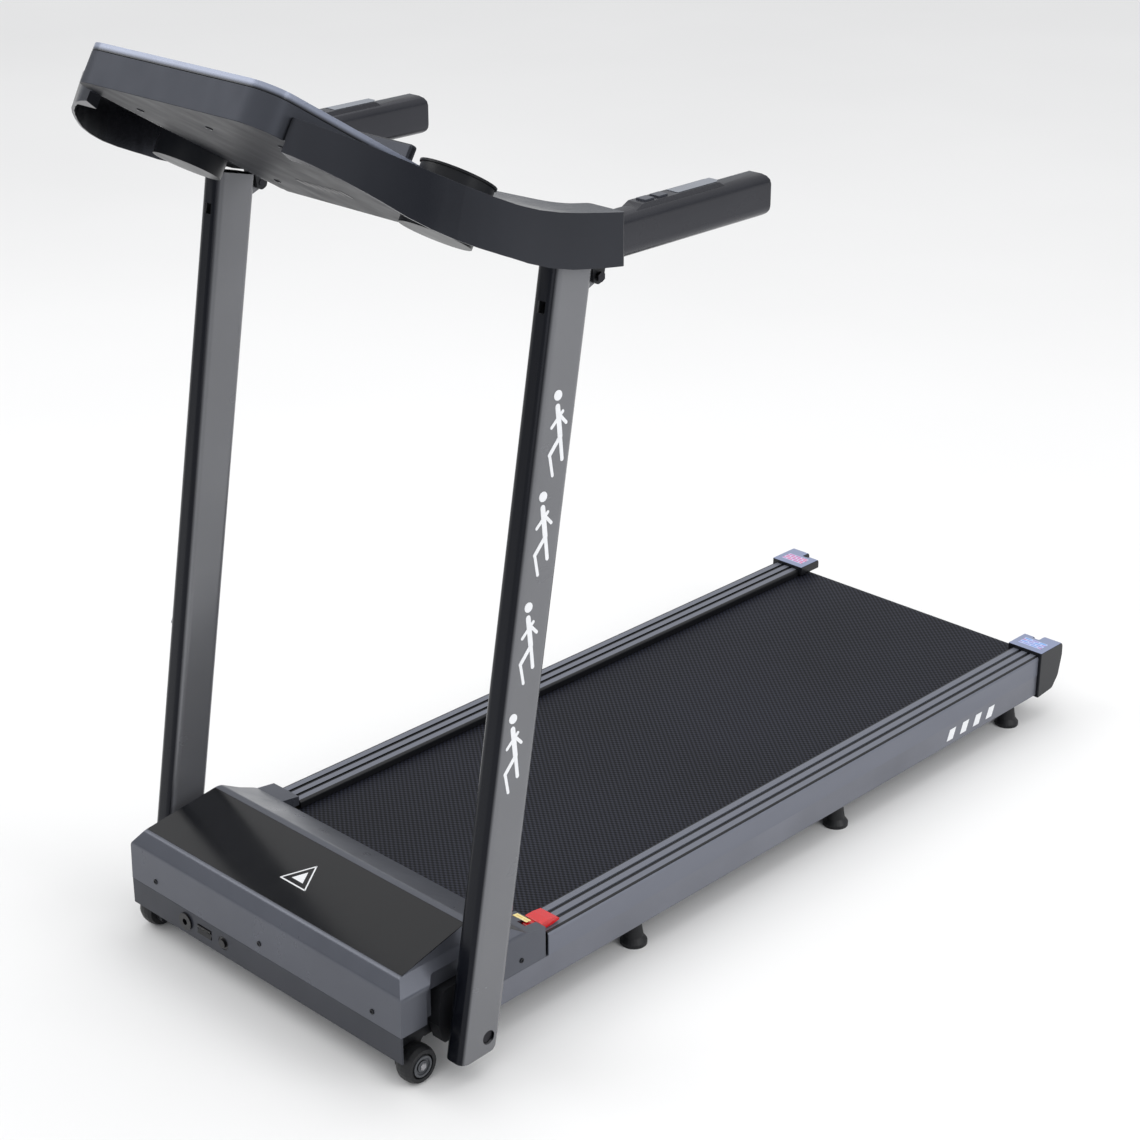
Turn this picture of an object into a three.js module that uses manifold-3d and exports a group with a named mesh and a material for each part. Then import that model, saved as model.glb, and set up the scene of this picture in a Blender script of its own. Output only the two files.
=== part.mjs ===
// Folding home treadmill, built as an assembly of separate pieces.
//
// Axes: X is the width, +Y runs from the motor hood to the open end of the deck, +Z is up.
// A runner faces -Y, so +X is the left side and -X is the right side of the treadmill.
// All lengths are in millimetres. Every piece is drawn where it stands with the console up,
// measured from the hood's front face (Y = 0) and the floor (Z = 0).
// One shift at the end of the file centres the whole treadmill on the origin.

import * as THREE from "three";
import Module from "manifold-3d";
import { mergeVertices } from "three/addons/utils/BufferGeometryUtils.js";

const wasm = await Module();
wasm.setup();

// ---------- driving dimensions ----------

const GAP = 0.3;
const WALL = 3;
const ROUND_STEPS = 4;

// deck
const DECK_HALF = 260;
const RAIL_INNER = 210;
const RAIL_TOP = 110;
const BELT_TOP = 98;
const BELT_HALF = 212;
const BELT_THICKNESS = 1.8;
const SEAM_Z = 77.7;
const FRAME_BOTTOM = 44.4;
const DECK_REAR = 1316.7;
const CAP_REAR = 1377;
const TUBE_INNER = 226;
const TUBE_FRONT = 150;
const FOOT_X = 235;
const FOOT_ROWS = { front: 429.7, rear: 1280.7 };

// rollers and drive
const ROLLER_RADIUS = 21;
const ROLLER_Z = BELT_TOP - BELT_THICKNESS - GAP - ROLLER_RADIUS;
const FRONT_ROLLER_Y = 212;
const REAR_ROLLER_Y = 1340;
const DRIVE_X = -218.5;
const DRIVE_WIDTH = 9;
const ROLLER_PULLEY_RADIUS = 30;
const MOTOR_PULLEY_RADIUS = 11;
const MOTOR_Y = 92;
const MOTOR_Z = 98;
const MOTOR_RADIUS = 42;

// hood
const HOOD_HALF = 259.7;
const HOOD_REAR = 214;
const HOOD_EAR_REAR = 241;
const FRONT_BAND_BOTTOM = 44;

// uprights
const LEAN = THREE.MathUtils.degToRad(9.86);
const UPRIGHT_OUTER = 303.7;
const UPRIGHT_THICK = 34;
const UPRIGHT_DEPTH = 60;
const UPRIGHT_CORNER = 11;
const UPRIGHT_FOOT_Y = 81.5;
const UPRIGHT_BOTTOM = 29;
const UPRIGHT_TOP = { front: 976, rear: 955 };
const FOLD_PIVOT = { y: 99.3, z: 51.8 };
const CONSOLE_PIVOT = { y: 289, z: 945.4 };

// console
const CONSOLE_TILT = THREE.MathUtils.degToRad(31.5);
const CONSOLE_FRONT = { y: -36.7, z: 1186.1 };
const CONSOLE_HALF = 160;
const CONSOLE_CORNER = 37;
const CONSOLE_REAR = 235;
const CONSOLE_DEPTH = 54;
const CONSOLE_NOSE = 24;
const TOP_COVER_DEPTH = 10;
const ARM_OUTER = 317;
const ARM_INNER = 262;
const ARM_BEND = { x: 130, y: 158, radius: 187 };
const ARM_FIRST = { y: -25, z: 1133 };
const ARM_UPRIGHT_FROM = 150;
const ARM_REAR = 312;
const KEY = { x: 0, y: 196, radius: 6.6, cap: 13 };
const CUP = { x: 212, y: 163.3, radius: 42, depth: 67, wall: 2.5, flange: 1.8 };

// handles
const HANDLE = { x: 290, y0: 303, y1: 570, z: 984, width: 34, height: 52, corner: 13 };

// wheels
const WHEEL = { y: 31, z: 24.6, radius: 24.6, inner: 238, outer: 262 };

// ---------- solids ----------

/** A manifold solid of a closed three.js geometry. */
function solidOf(geometry) {
  geometry.deleteAttribute("normal");
  geometry.deleteAttribute("uv");
  const merged = mergeVertices(geometry, 1e-4);
  return new wasm.Manifold(
    new wasm.Mesh({
      numProp: 3,
      vertProperties: merged.attributes.position.array,
      triVerts: new Uint32Array(merged.index.array),
    }),
  );
}

/** The three.js geometry of a manifold solid. */
function geometryOf(solid) {
  const mesh = solid.getMesh();
  const positions = new Float32Array(mesh.numVert * 3);
  for (let i = 0; i < mesh.numVert; i += 1) {
    for (let k = 0; k < 3; k += 1) {
      positions[i * 3 + k] = mesh.vertProperties[i * mesh.numProp + k];
    }
  }
  const geometry = new THREE.BufferGeometry();
  geometry.setAttribute("position", new THREE.BufferAttribute(positions, 3));
  geometry.setIndex(new THREE.BufferAttribute(new Uint32Array(mesh.triVerts), 1));
  geometry.computeVertexNormals();
  return geometry;
}

function join(...solids) {
  return solids.reduce((sum, solid) => sum.add(solid));
}

function cut(solid, ...tools) {
  return tools.reduce((rest, tool) => rest.subtract(tool), solid);
}

function common(...solids) {
  return solids.reduce((sum, solid) => sum.intersect(solid));
}

/** The largest body of a solid, without the slivers that a shallow cut can leave. */
function largest(solid) {
  return solid.decompose().reduce((best, body) => (body.volume() > best.volume() ? body : best));
}

/** The same piece on the right side of the treadmill. */
function mirrored(solid) {
  return solid.mirror([1, 0, 0]);
}

/** A box from its low and high limits. */
function box([x0, x1], [y0, y1], [z0, z1]) {
  const geometry = new THREE.BoxGeometry(x1 - x0, y1 - y0, z1 - z0);
  geometry.translate((x0 + x1) / 2, (y0 + y1) / 2, (z0 + z1) / 2);
  return solidOf(geometry);
}

/** A closed outline from [a, b, radius] corners: a radius rounds its corner with an arc. */
function outline(corners, steps = ROUND_STEPS) {
  const points = [];
  corners.forEach(([a, b, radius = 0], i) => {
    const here = new THREE.Vector2(a, b);
    const before = new THREE.Vector2(...corners.at(i - 1).slice(0, 2)).sub(here);
    const after = new THREE.Vector2(...corners[(i + 1) % corners.length].slice(0, 2)).sub(here);
    if (radius === 0) {
      points.push(here);
      return;
    }
    before.normalize();
    after.normalize();
    const half = Math.acos(THREE.MathUtils.clamp(before.dot(after), -1, 1)) / 2;
    const centre = before.clone().add(after).normalize().multiplyScalar(radius / Math.sin(half));
    centre.add(here);
    const reach = radius / Math.tan(half);
    const start = before.multiplyScalar(reach).add(here).sub(centre);
    const end = after.multiplyScalar(reach).add(here).sub(centre);
    const turn = Math.atan2(start.x * end.y - start.y * end.x, start.dot(end));
    for (let k = 0; k <= steps; k += 1) {
      const point = start.clone().rotateAround(new THREE.Vector2(), (turn * k) / steps);
      points.push(point.add(centre));
    }
  });
  return points;
}

/** A prism of an outline in X-Y, between two heights. */
function prismZ(points, [z0, z1]) {
  const shape = new THREE.Shape(points);
  const geometry = new THREE.ExtrudeGeometry(shape, { depth: z1 - z0, bevelEnabled: false });
  geometry.translate(0, 0, z0);
  return solidOf(geometry);
}

/** A prism of an outline in Y-Z, between two X positions. */
function prismX(points, [x0, x1]) {
  const shape = new THREE.Shape(points);
  const geometry = new THREE.ExtrudeGeometry(shape, { depth: x1 - x0, bevelEnabled: false });
  geometry.applyMatrix4(new THREE.Matrix4().set(0, 0, 1, x0, 1, 0, 0, 0, 0, 1, 0, 0, 0, 0, 0, 1));
  return solidOf(geometry);
}

/** A prism of an outline in X-Z, between two Y positions. */
function prismY(points, [y0, y1]) {
  const shape = new THREE.Shape(points);
  const geometry = new THREE.ExtrudeGeometry(shape, { depth: y1 - y0, bevelEnabled: false });
  geometry.applyMatrix4(new THREE.Matrix4().set(1, 0, 0, 0, 0, 0, -1, y1, 0, 1, 0, 0, 0, 0, 0, 1));
  return solidOf(geometry);
}

/** A turned piece about a line along X through (y, z), from [radius, x] profile points. */
function turnedX(profile, { y, z }, segments = 24) {
  const points = profile.map(([radius, x]) => new THREE.Vector2(radius, x));
  const geometry = new THREE.LatheGeometry(points, segments);
  geometry.rotateZ(-Math.PI / 2);
  geometry.translate(0, y, z);
  return outward(geometry);
}

/** A turned piece about a vertical line through (x, y), from [radius, z] profile points. */
function turnedZ(profile, { x, y }, segments = 24) {
  const points = profile.map(([radius, z]) => new THREE.Vector2(radius, z));
  const geometry = new THREE.LatheGeometry(points, segments);
  geometry.rotateX(Math.PI / 2);
  geometry.translate(x, y, 0);
  return outward(geometry);
}

/** A solid whose faces look out, whichever way its profile ran. */
function outward(geometry) {
  const solid = solidOf(geometry);
  if (solid.volume() > 0) {
    return solid;
  }
  const turned = geometry.clone();
  const order = turned.index.array;
  for (let i = 0; i < order.length; i += 3) {
    [order[i + 1], order[i + 2]] = [order[i + 2], order[i + 1]];
  }
  return solidOf(turned);
}

/** A round bar along X. */
function barX(radius, [x0, x1], centre, segments = 20) {
  const geometry = new THREE.CylinderGeometry(radius, radius, x1 - x0, segments);
  geometry.rotateZ(Math.PI / 2);
  geometry.translate((x0 + x1) / 2, centre.y, centre.z);
  return solidOf(geometry);
}

/** A round bar along Y. */
function barY(radius, [y0, y1], centre, segments = 16) {
  const geometry = new THREE.CylinderGeometry(radius, radius, y1 - y0, segments);
  geometry.translate(centre.x, (y0 + y1) / 2, centre.z);
  return solidOf(geometry);
}

/** A rounded rectangle about the origin. */
function roundedRectangle(width, height, radius, steps = ROUND_STEPS) {
  const a = width / 2;
  const b = height / 2;
  return outline([[-a, -b, radius], [a, -b, radius], [a, b, radius], [-a, b, radius]], steps);
}

// ---------- assembly ----------

const treadmill = new THREE.Group();

const FINISHES = {
  steel: { color: 0x5f636b, roughness: 0.38, metalness: 0.55 },
  blackSteel: { color: 0x17181b, roughness: 0.45, metalness: 0.4 },
  zinc: { color: 0xa9adb3, roughness: 0.35, metalness: 0.9 },
  greyPlastic: { color: 0x4b4f57, roughness: 0.42, metalness: 0.15 },
  glossPlastic: { color: 0x0c0d10, roughness: 0.1, metalness: 0.0 },
  blackPlastic: { color: 0x1b1c1f, roughness: 0.5, metalness: 0.0 },
  rubber: { color: 0x141414, roughness: 0.85, metalness: 0.0 },
  belt: { color: 0x23262c, roughness: 0.8, metalness: 0.0 },
  board: { color: 0x6d5a45, roughness: 0.7, metalness: 0.0 },
  red: { color: 0xd81e1e, roughness: 0.4, metalness: 0.0 },
  screen: { color: 0x050608, roughness: 0.06, metalness: 0.0 },
};

/** Adds one named piece. */
function add(name, solid, finish) {
  const material = new THREE.MeshStandardMaterial(FINISHES[finish]);
  const mesh = new THREE.Mesh(geometryOf(solid), material);
  mesh.name = name;
  treadmill.add(mesh);
}

/** Adds a piece drawn on the left side and its mirror image on the right. */
function addPair(name, solid, finish) {
  add(`${name}_left`, solid, finish);
  add(`${name}_right`, mirrored(solid), finish);
}

// ---------- deck frame ----------

/** A straight rectangular tube along Y or X, with its bore. */
function rectangularTube([x0, x1], [y0, y1], [z0, z1], along) {
  const bar = box([x0, x1], [y0, y1], [z0, z1]);
  const boreX = along === "x" ? [x0 - 1, x1 + 1] : [x0 + WALL, x1 - WALL];
  const boreY = along === "y" ? [y0 - 1, y1 + 1] : [y0 + WALL, y1 - WALL];
  return cut(bar, box(boreX, boreY, [z0 + WALL, z1 - WALL]));
}

function addDeckFrame() {
  const tube = rectangularTube(
    [TUBE_INNER, DECK_HALF - GAP],
    [TUBE_FRONT, DECK_REAR],
    [FRAME_BOTTOM, SEAM_Z - GAP],
    "y",
  );
  addPair("frame_tube", tube, "steel");
  const span = [-TUBE_INNER + GAP, TUBE_INNER - GAP];
  const middleRow = (FOOT_ROWS.front + FOOT_ROWS.rear) / 2;
  const rows = { front: 330, middle: middleRow, rear: FOOT_ROWS.rear };
  for (const [row, y] of Object.entries(rows)) {
    const member = rectangularTube(span, [y - 15, y + 15], [57, SEAM_Z - GAP], "x");
    add(`cross_member_${row}`, member, "blackSteel");
  }
  add("motor_plate", box([-TUBE_INNER + GAP, TUBE_INNER - GAP], [56, 146], [44, 47]), "blackSteel");
}

/** The black bracket at each front corner: it carries an upright's pivot and a wheel. */
function addBaseBrackets() {
  const block = prismX(
    outline([[60, 66], [68, 38, 4], [146, 38, 4], [149.5, 60], [149.5, 112, 10], [66, 112, 10]]),
    [241, DECK_HALF - GAP],
  );
  const wheelArm = prismX(
    outline([[18, 12, 8], [44, 12, 8], [52, 44, 6], [149.5, 48], [149.5, 100], [40, 100, 10], [16, 40, 6]]),
    [227, 237.5],
  );
  const web = box([232, 246], [72, 149.5], [50, 98]);
  const spacer = barX(16, [250, UPRIGHT_OUTER - UPRIGHT_THICK - GAP], FOLD_PIVOT);
  const pivotBore = barX(6.3, [220, 290], FOLD_PIVOT);
  const wheelStub = barX(5, [232, WHEEL.outer - 6], WHEEL);
  const bracket = join(cut(join(block, wheelArm, web, spacer), pivotBore), wheelStub);
  addPair("base_bracket", bracket, "blackSteel");
}

function addFeet() {
  const rubber = [[0, 0], [18, 0], [18, 5], [13, 12], [10, 30], [10.5, 40], [9, 44], [0, 44]];
  for (const [row, y] of Object.entries(FOOT_ROWS)) {
    addPair(`foot_${row}`, turnedZ(rubber, { x: FOOT_X, y }), "rubber");
  }
}

// ---------- running surface ----------

/** A belt loop round two pulleys in the Y-Z plane, as an outline a given distance outside them. */
function loopOutline(front, rear, offset, steps) {
  const a = new THREE.Vector2(front.y, front.z);
  const b = new THREE.Vector2(rear.y, rear.z);
  const line = b.clone().sub(a);
  const heading = line.angle();
  const spread = Math.acos((front.radius - rear.radius) / line.length());
  const points = [];
  for (let k = 0; k <= steps; k += 1) {
    const angle = heading - spread + (2 * spread * k) / steps;
    const radius = rear.radius + offset;
    points.push(new THREE.Vector2(Math.cos(angle), Math.sin(angle)).multiplyScalar(radius).add(b));
  }
  for (let k = 0; k <= steps; k += 1) {
    const angle = heading + spread + ((2 * Math.PI - 2 * spread) * k) / steps;
    const radius = front.radius + offset;
    points.push(new THREE.Vector2(Math.cos(angle), Math.sin(angle)).multiplyScalar(radius).add(a));
  }
  return points;
}

/** A thin belt round two pulleys. */
function beltLoop(front, rear, thickness, span, steps) {
  const outer = prismX(loopOutline(front, rear, GAP + thickness, steps), span);
  const inner = prismX(loopOutline(front, rear, GAP, steps), [span[0] - 1, span[1] + 1]);
  return cut(outer, inner);
}

function addRunningSurface() {
  const front = { y: FRONT_ROLLER_Y, z: ROLLER_Z, radius: ROLLER_RADIUS };
  const rear = { y: REAR_ROLLER_Y, z: ROLLER_Z, radius: ROLLER_RADIUS };
  const boardTop = BELT_TOP - BELT_THICKNESS - GAP;
  add("running_board", box([-244, 244], [250, 1300], [boardTop - 12, boardTop]), "board");
  add("running_belt", beltLoop(front, rear, BELT_THICKNESS, [-BELT_HALF, BELT_HALF], 14), "belt");

  const rollerEnd = BELT_HALF - 0.6;
  const pulleyX = [DRIVE_X - DRIVE_WIDTH / 2, DRIVE_X + DRIVE_WIDTH / 2];
  const plainProfile = [
    [7.8, -rollerEnd],
    [ROLLER_RADIUS, -rollerEnd],
    [ROLLER_RADIUS, rollerEnd],
    [7.8, rollerEnd],
    [7.8, -rollerEnd],
  ];
  const plainRoller = turnedX(plainProfile, rear);
  add("rear_roller", plainRoller, "zinc");
  const drivenRoller = turnedX(
    [
      [7.8, pulleyX[0]],
      [ROLLER_PULLEY_RADIUS, pulleyX[0]],
      [ROLLER_PULLEY_RADIUS, pulleyX[1]],
      [21, -BELT_HALF - 0.8],
      [21, rollerEnd],
      [7.8, rollerEnd],
      [7.8, pulleyX[0]],
    ],
    front,
  );
  add("front_roller", drivenRoller, "zinc");
  const axleEnd = TUBE_INNER - GAP;
  for (const [name, centre] of [["front_axle", front], ["rear_axle", rear]]) {
    add(name, barX(7.5, [-axleEnd, axleEnd], centre), "zinc");
  }
}

/** A grooved foot rail: a capping with a side wall that hides the board's edge. */
function addSideRails() {
  const grooves = [223.5, 239];
  const section = outline([
    [RAIL_INNER, BELT_TOP + 1],
    [RAIL_INNER + 3, BELT_TOP + 1],
    [RAIL_INNER + 3, RAIL_TOP - 4],
    [DECK_HALF - 3.3, RAIL_TOP - 4],
    [DECK_HALF - 3.3, SEAM_Z],
    [DECK_HALF, SEAM_Z],
    [DECK_HALF, RAIL_TOP, 5],
    [RAIL_INNER, RAIL_TOP, 3.5],
  ]);
  const blank = prismY(section, [246, DECK_REAR]);
  const channels = grooves.map((x) => box([x, x + 6], [200, 1400], [RAIL_TOP - 1.6, RAIL_TOP + 5]));
  const rib = box([232, 235], [246, DECK_REAR], [boardTopUnderRail(), RAIL_TOP - 3]);
  addPair("side_rail", join(cut(blank, ...channels), rib), "greyPlastic");
}

/** Where the rail's middle rib stands on the running board. */
function boardTopUnderRail() {
  return BELT_TOP - BELT_THICKNESS;
}

/** The moulded cap over each rear corner, with a notch above the belt adjuster. */
function addRearCaps() {
  const side = outline([
    [DECK_REAR + GAP, 40, 2],
    [1356, 44, 8],
    [1370, 62, 14],
    [CAP_REAR, 95, 20],
    [CAP_REAR - 1, 116, 7],
    [DECK_REAR + GAP, 116, 1.5],
  ]);
  const body = prismX(side, [TUBE_INNER + 3, DECK_HALF + 4.5]);
  const lobe = prismX(
    outline([[DECK_REAR + GAP, 101], [1364, 101], [1364, 116, 5], [DECK_REAR + GAP, 116, 1.5]]),
    [204, TUBE_INNER + 4],
  );
  const notch = box([222, 233], [1357, 1400], [90, 130]);
  const adjusterBore = barY(5.4, [1300, 1400], { x: 246, z: ROLLER_Z });
  const pocket = box([TUBE_INNER - 2, 254], [DECK_REAR - 1, 1352], [52, 94]);
  const cap = cut(join(body, lobe), notch, pocket, adjusterBore);
  addPair("rear_cap", cap, "blackPlastic");
  const shank = barY(4, [1322, 1370], { x: 246, z: ROLLER_Z }, 12);
  const head = barY(5, [1370, CAP_REAR - 1], { x: 246, z: ROLLER_Z }, 6);
  addPair("belt_adjuster", join(shank, head), "zinc");
}

// ---------- motor bay ----------

function addMotorBay() {
  add("belly_pan", box([-232, 232], [62, 201], [38, 40.5]), "blackPlastic");

  const axis = { y: MOTOR_Y, z: MOTOR_Z };
  const canProfile = [
    [0, -176],
    [30, -176],
    [MOTOR_RADIUS, -168],
    [MOTOR_RADIUS, -52],
    [30, -44],
    [0, -44],
  ];
  const can = turnedX(canProfile, axis, 28);
  const saddle = box([-158, -62], [MOTOR_Y - 30, MOTOR_Y + 30], [47.3, 70]);
  add("motor", join(can, saddle), "blackSteel");

  const pulleyX = [DRIVE_X - DRIVE_WIDTH / 2, DRIVE_X + DRIVE_WIDTH / 2];
  const rotor = turnedX(
    [
      [0, pulleyX[0]],
      [MOTOR_PULLEY_RADIUS, pulleyX[0]],
      [MOTOR_PULLEY_RADIUS, pulleyX[1]],
      [6, pulleyX[1]],
      [6, -202],
      [38, -202],
      [38, -184],
      [6, -184],
      [6, -176.4],
      [0, -176.4],
    ],
    axis,
  );
  add("motor_flywheel", rotor, "steel");

  const drive = beltLoop(
    { y: MOTOR_Y, z: MOTOR_Z, radius: MOTOR_PULLEY_RADIUS },
    { y: FRONT_ROLLER_Y, z: ROLLER_Z, radius: ROLLER_PULLEY_RADIUS },
    2.6,
    pulleyX,
    20,
  );
  add("drive_belt", drive, "rubber");
  add("motor_controller", box([20, 190], [66, 140], [47.3, 98]), "blackPlastic");
}

/** The hood's side view, inset by `skin`, as far back as `rear`. */
function hoodSide(skin, bottom, rear) {
  const front = 0.5 + skin;
  const slopeEnd = [[212, 125 - skin, 8], [rear - skin, 121 - skin]];
  const squareEnd = [[rear - skin, 124 - skin, 2]];
  return outline([
    [front, bottom],
    [rear - skin, bottom],
    ...(rear > HOOD_REAR ? slopeEnd.reverse() : squareEnd),
    [133, 171 - skin, 22],
    [15, 149 - skin, 9],
    [front + 1.5, 130 - skin, 9],
  ]);
}

/** The hood's outer form inset by `skin`: a body, and an ear over the front of each foot rail. */
function hoodForm(skin, bottom) {
  const body = prismX(hoodSide(skin, bottom, HOOD_REAR), [-300, 300]);
  const ears = prismX(hoodSide(skin, bottom, HOOD_EAR_REAR), [RAIL_INNER - 3 + skin, 300]);
  const half = HOOD_HALF - skin;
  const frontView = outline([
    [-half, bottom],
    [half, bottom],
    [half, 128, 10],
    [half - 16, 149, 8],
    [half - 24, 176],
    [-half + 24, 176],
    [-half + 16, 149, 8],
    [-half, 128, 10],
  ]);
  return common(join(body, ears, mirrored(ears)), prismY(frontView, [-10, 300]));
}

function addHood() {
  const hoodBottom = SEAM_Z;
  const shell = cut(hoodForm(0, hoodBottom), hoodForm(WALL, hoodBottom - 1));
  const pocket = prismX(outline([[42, 60], [155, 60], [155, 138, 8], [56, 138, 8], [42, 120]]), [249, 300]);
  const pocketWall = prismX(
    outline([[40, hoodBottom], [157, hoodBottom], [157, 140, 8], [54, 140, 8], [40, 121]]),
    [246, HOOD_HALF - 2],
  );
  const beltMouth = box([-224, 224], [190, 300], [60, 108]);
  const wall = common(hoodForm(0, hoodBottom), join(pocketWall, mirrored(pocketWall)));
  const whole = cut(join(shell, wall), pocket, mirrored(pocket), beltMouth);
  const panelSeat = panelBlank(0, -1.2);
  const screwHoles = [-209, 0, 209].map((x) => barY(2.6, [-5, 2.4], { x, z: 92 }, 12));
  const baseBlockSeat = box([238, DECK_HALF], [58, 152], [60, 114]);
  const leverSlot = box([229, 243], [222, 250], [108, 124]);
  const openings = [...screwHoles, baseBlockSeat, mirrored(baseBlockSeat), leverSlot];
  add("hood", largest(cut(whole, panelSeat, ...openings)), "greyPlastic");
  add("hood_panel", panelBlank(0.4, -0.8), "glossPlastic");
}

/** The glossy sheet let into the hood's front slope, inset by `edge` and set at `rise`. */
function panelBlank(edge, rise) {
  const slope = (171 - 149) / (133 - 15);
  const heightAt = (y) => 149 + slope * (y - 15) + rise;
  const y0 = 18 + edge;
  const y1 = 126 - edge;
  const sheet = prismX(
    outline([[y0, heightAt(y0)], [y1, heightAt(y1)], [y1, heightAt(y1) + 8], [y0, heightAt(y0) + 8]]),
    [-300, 300],
  );
  return common(sheet, hoodForm(0, SEAM_Z));
}

function addFrontBand() {
  const lip = box([-223, 223], [1, 54], [FRONT_BAND_BOTTOM - 3, FRONT_BAND_BOTTOM]);
  const face = box([-HOOD_HALF, HOOD_HALF], [0.5, 3.5], [FRONT_BAND_BOTTOM - 3, SEAM_Z - GAP]);
  const glandBore = barY(10.3, [-5, 10], { x: -148, z: 59.8 }, 20);
  const switchBore = box([-124.3, -96.7], [-5, 10], [53.2, 66.8]);
  const resetBore = barY(9.3, [-5, 10], { x: -73, z: 60 }, 20);
  add("front_band", cut(join(face, lip), glandBore, switchBore, resetBore), "greyPlastic");

  const gland = cut(
    join(barY(10, [-0.5, 12], { x: -148, z: 59.8 }, 20), barY(12, [-2, 0.2], { x: -148, z: 59.8 }, 20)),
    barY(4.5, [-6, 8], { x: -148, z: 59.8 }, 16),
  );
  add("cord_gland", gland, "blackPlastic");
  const rocker = prismX(
    outline([[3.5, 53.8], [14, 55.6], [14, 64.4], [3.5, 66.2], [-1.8, 65.6, 1], [1.2, 60], [-1.0, 54.4]]),
    [-123.9, -97.1],
  );
  add("power_switch", rocker, "blackPlastic");
  const reset = join(barY(8.9, [1, 14], { x: -73, z: 60 }, 20), barY(6, [-2, 1.2], { x: -73, z: 60 }, 20));
  add("breaker_reset", reset, "blackPlastic");
}

function addWheels() {
  const { radius, inner, outer } = WHEEL;
  const tyre = [
    [5.4, inner],
    [14, inner],
    [radius - 3, inner],
    [radius - 0.7, inner + 5],
    [radius, inner + 11],
    [radius - 0.7, outer - 6],
    [radius - 3, outer],
    [16.5, outer],
    [16, outer - 4],
    [8.5, outer - 4],
    [8, outer - 0.5],
    [5.4, outer - 0.5],
    [5.4, inner],
  ];
  addPair("transport_wheel", turnedX(tyre, WHEEL, 28), "rubber");
}

/** The red latch at the hood's left rear corner that holds the folded uprights down. */
function addLockLever() {
  const pivot = { y: 236, z: 116 };
  const paddle = prismX(
    outline([
      [242, 111.2, 1],
      [262, 111.2, 1],
      [276, 113.5, 1.5],
      [270, 119, 3],
      [256, 121, 6],
      [242, 121, 2],
    ]),
    [223, 251],
  );
  const stem = prismX(outline([[229, 112, 2], [243, 111.8], [243, 119], [229, 119, 2]]), [230, 242]);
  add("lock_lever", join(paddle, stem, barX(3, [229, 243], pivot, 12)), "red");
}

// ---------- uprights ----------

/** Moves a solid drawn about a vertical line at the origin onto an upright's sloping axis. */
function leaned(solid) {
  const place = new THREE.Matrix4().makeTranslation(0, UPRIGHT_FOOT_Y, 0);
  place.multiply(new THREE.Matrix4().makeRotationX(-LEAN));
  return solid.transform(place.elements);
}

function addUprights() {
  const middle = UPRIGHT_OUTER - UPRIGHT_THICK / 2;
  const place = (points) => points.map((point) => point.clone().add(new THREE.Vector2(middle, 0)));
  const outer = place(roundedRectangle(UPRIGHT_THICK, UPRIGHT_DEPTH, UPRIGHT_CORNER, 5));
  const bore = place(roundedRectangle(UPRIGHT_THICK - 5, UPRIGHT_DEPTH - 5, UPRIGHT_CORNER - 2.5, 3));
  const tube = leaned(prismZ(outer, [-20, 1000]));
  const tubeBore = leaned(prismZ(bore, [66, 1010]));
  const trim = prismX(
    outline([
      [30, UPRIGHT_BOTTOM, 2],
      [110, UPRIGHT_BOTTOM + 2, 10],
      [300, 700],
      [290, UPRIGHT_TOP.rear],
      [205, UPRIGHT_TOP.front],
      [0, UPRIGHT_TOP.front],
    ]),
    [200, 400],
  );
  const footHole = barX(6.3, [260, 290], FOLD_PIVOT);
  const headRecess = barX(9.3, [UPRIGHT_OUTER - 6, 320], FOLD_PIVOT, 24);
  const throughHole = barX(6.3, [280, 300], FOLD_PIVOT);
  const latchSlot = box([281, 292], [195, 236], [918, 932]);
  const ear = prismX(
    outline([
      [266, 926, 4],
      [CONSOLE_PIVOT.y + 4, 936.6, 7],
      [CONSOLE_PIVOT.y + 9, 945, 6],
      [CONSOLE_PIVOT.y + 5, 953.5, 6],
      [268, 951],
    ]),
    [283, 291],
  );
  const earBore = barX(4.3, [280, 294], CONSOLE_PIVOT, 16);
  const body = cut(common(tube, trim), tubeBore, footHole, headRecess, throughHole, latchSlot);
  addPair("upright", cut(join(body, ear), earBore), "steel");

  const pivotBolt = join(
    barX(6, [242, UPRIGHT_OUTER - 4], FOLD_PIVOT, 16),
    barX(9, [UPRIGHT_OUTER - 5.7, UPRIGHT_OUTER - 2.5], FOLD_PIVOT, 6),
  );
  addPair("fold_bolt", pivotBolt, "zinc");
  const consolePin = join(
    barX(4, [275, 301], CONSOLE_PIVOT, 16),
    barX(6, [300, 303], CONSOLE_PIVOT, 6),
  );
  addPair("console_pin", consolePin, "zinc");
}

// ---------- console ----------

/** The height of the console's top plane, `drop` below it, at a given Y. */
function consoleHeight(y, drop = 0) {
  return CONSOLE_FRONT.z - Math.tan(CONSOLE_TILT) * (y - CONSOLE_FRONT.y) - drop;
}

/** A tall column over the console slab's plan, leaning with its front face. */
function consoleColumn(skin) {
  const half = CONSOLE_HALF - skin;
  const front = CONSOLE_FRONT.y + skin;
  const rear = CONSOLE_REAR + 200;
  const radius = CONSOLE_CORNER - skin;
  const plan = outline([[half, front, radius], [half, rear], [-half, rear], [-half, front, radius]], 7);
  const lean = CONSOLE_NOSE / (CONSOLE_DEPTH - Math.tan(CONSOLE_TILT) * CONSOLE_NOSE);
  const shear = new THREE.Matrix4().makeShear(0, 0, 0, 0, 0, lean);
  return prismZ(plan, [-300, 50]).transform(shear.elements).translate([0, 0, CONSOLE_FRONT.z]);
}

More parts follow.
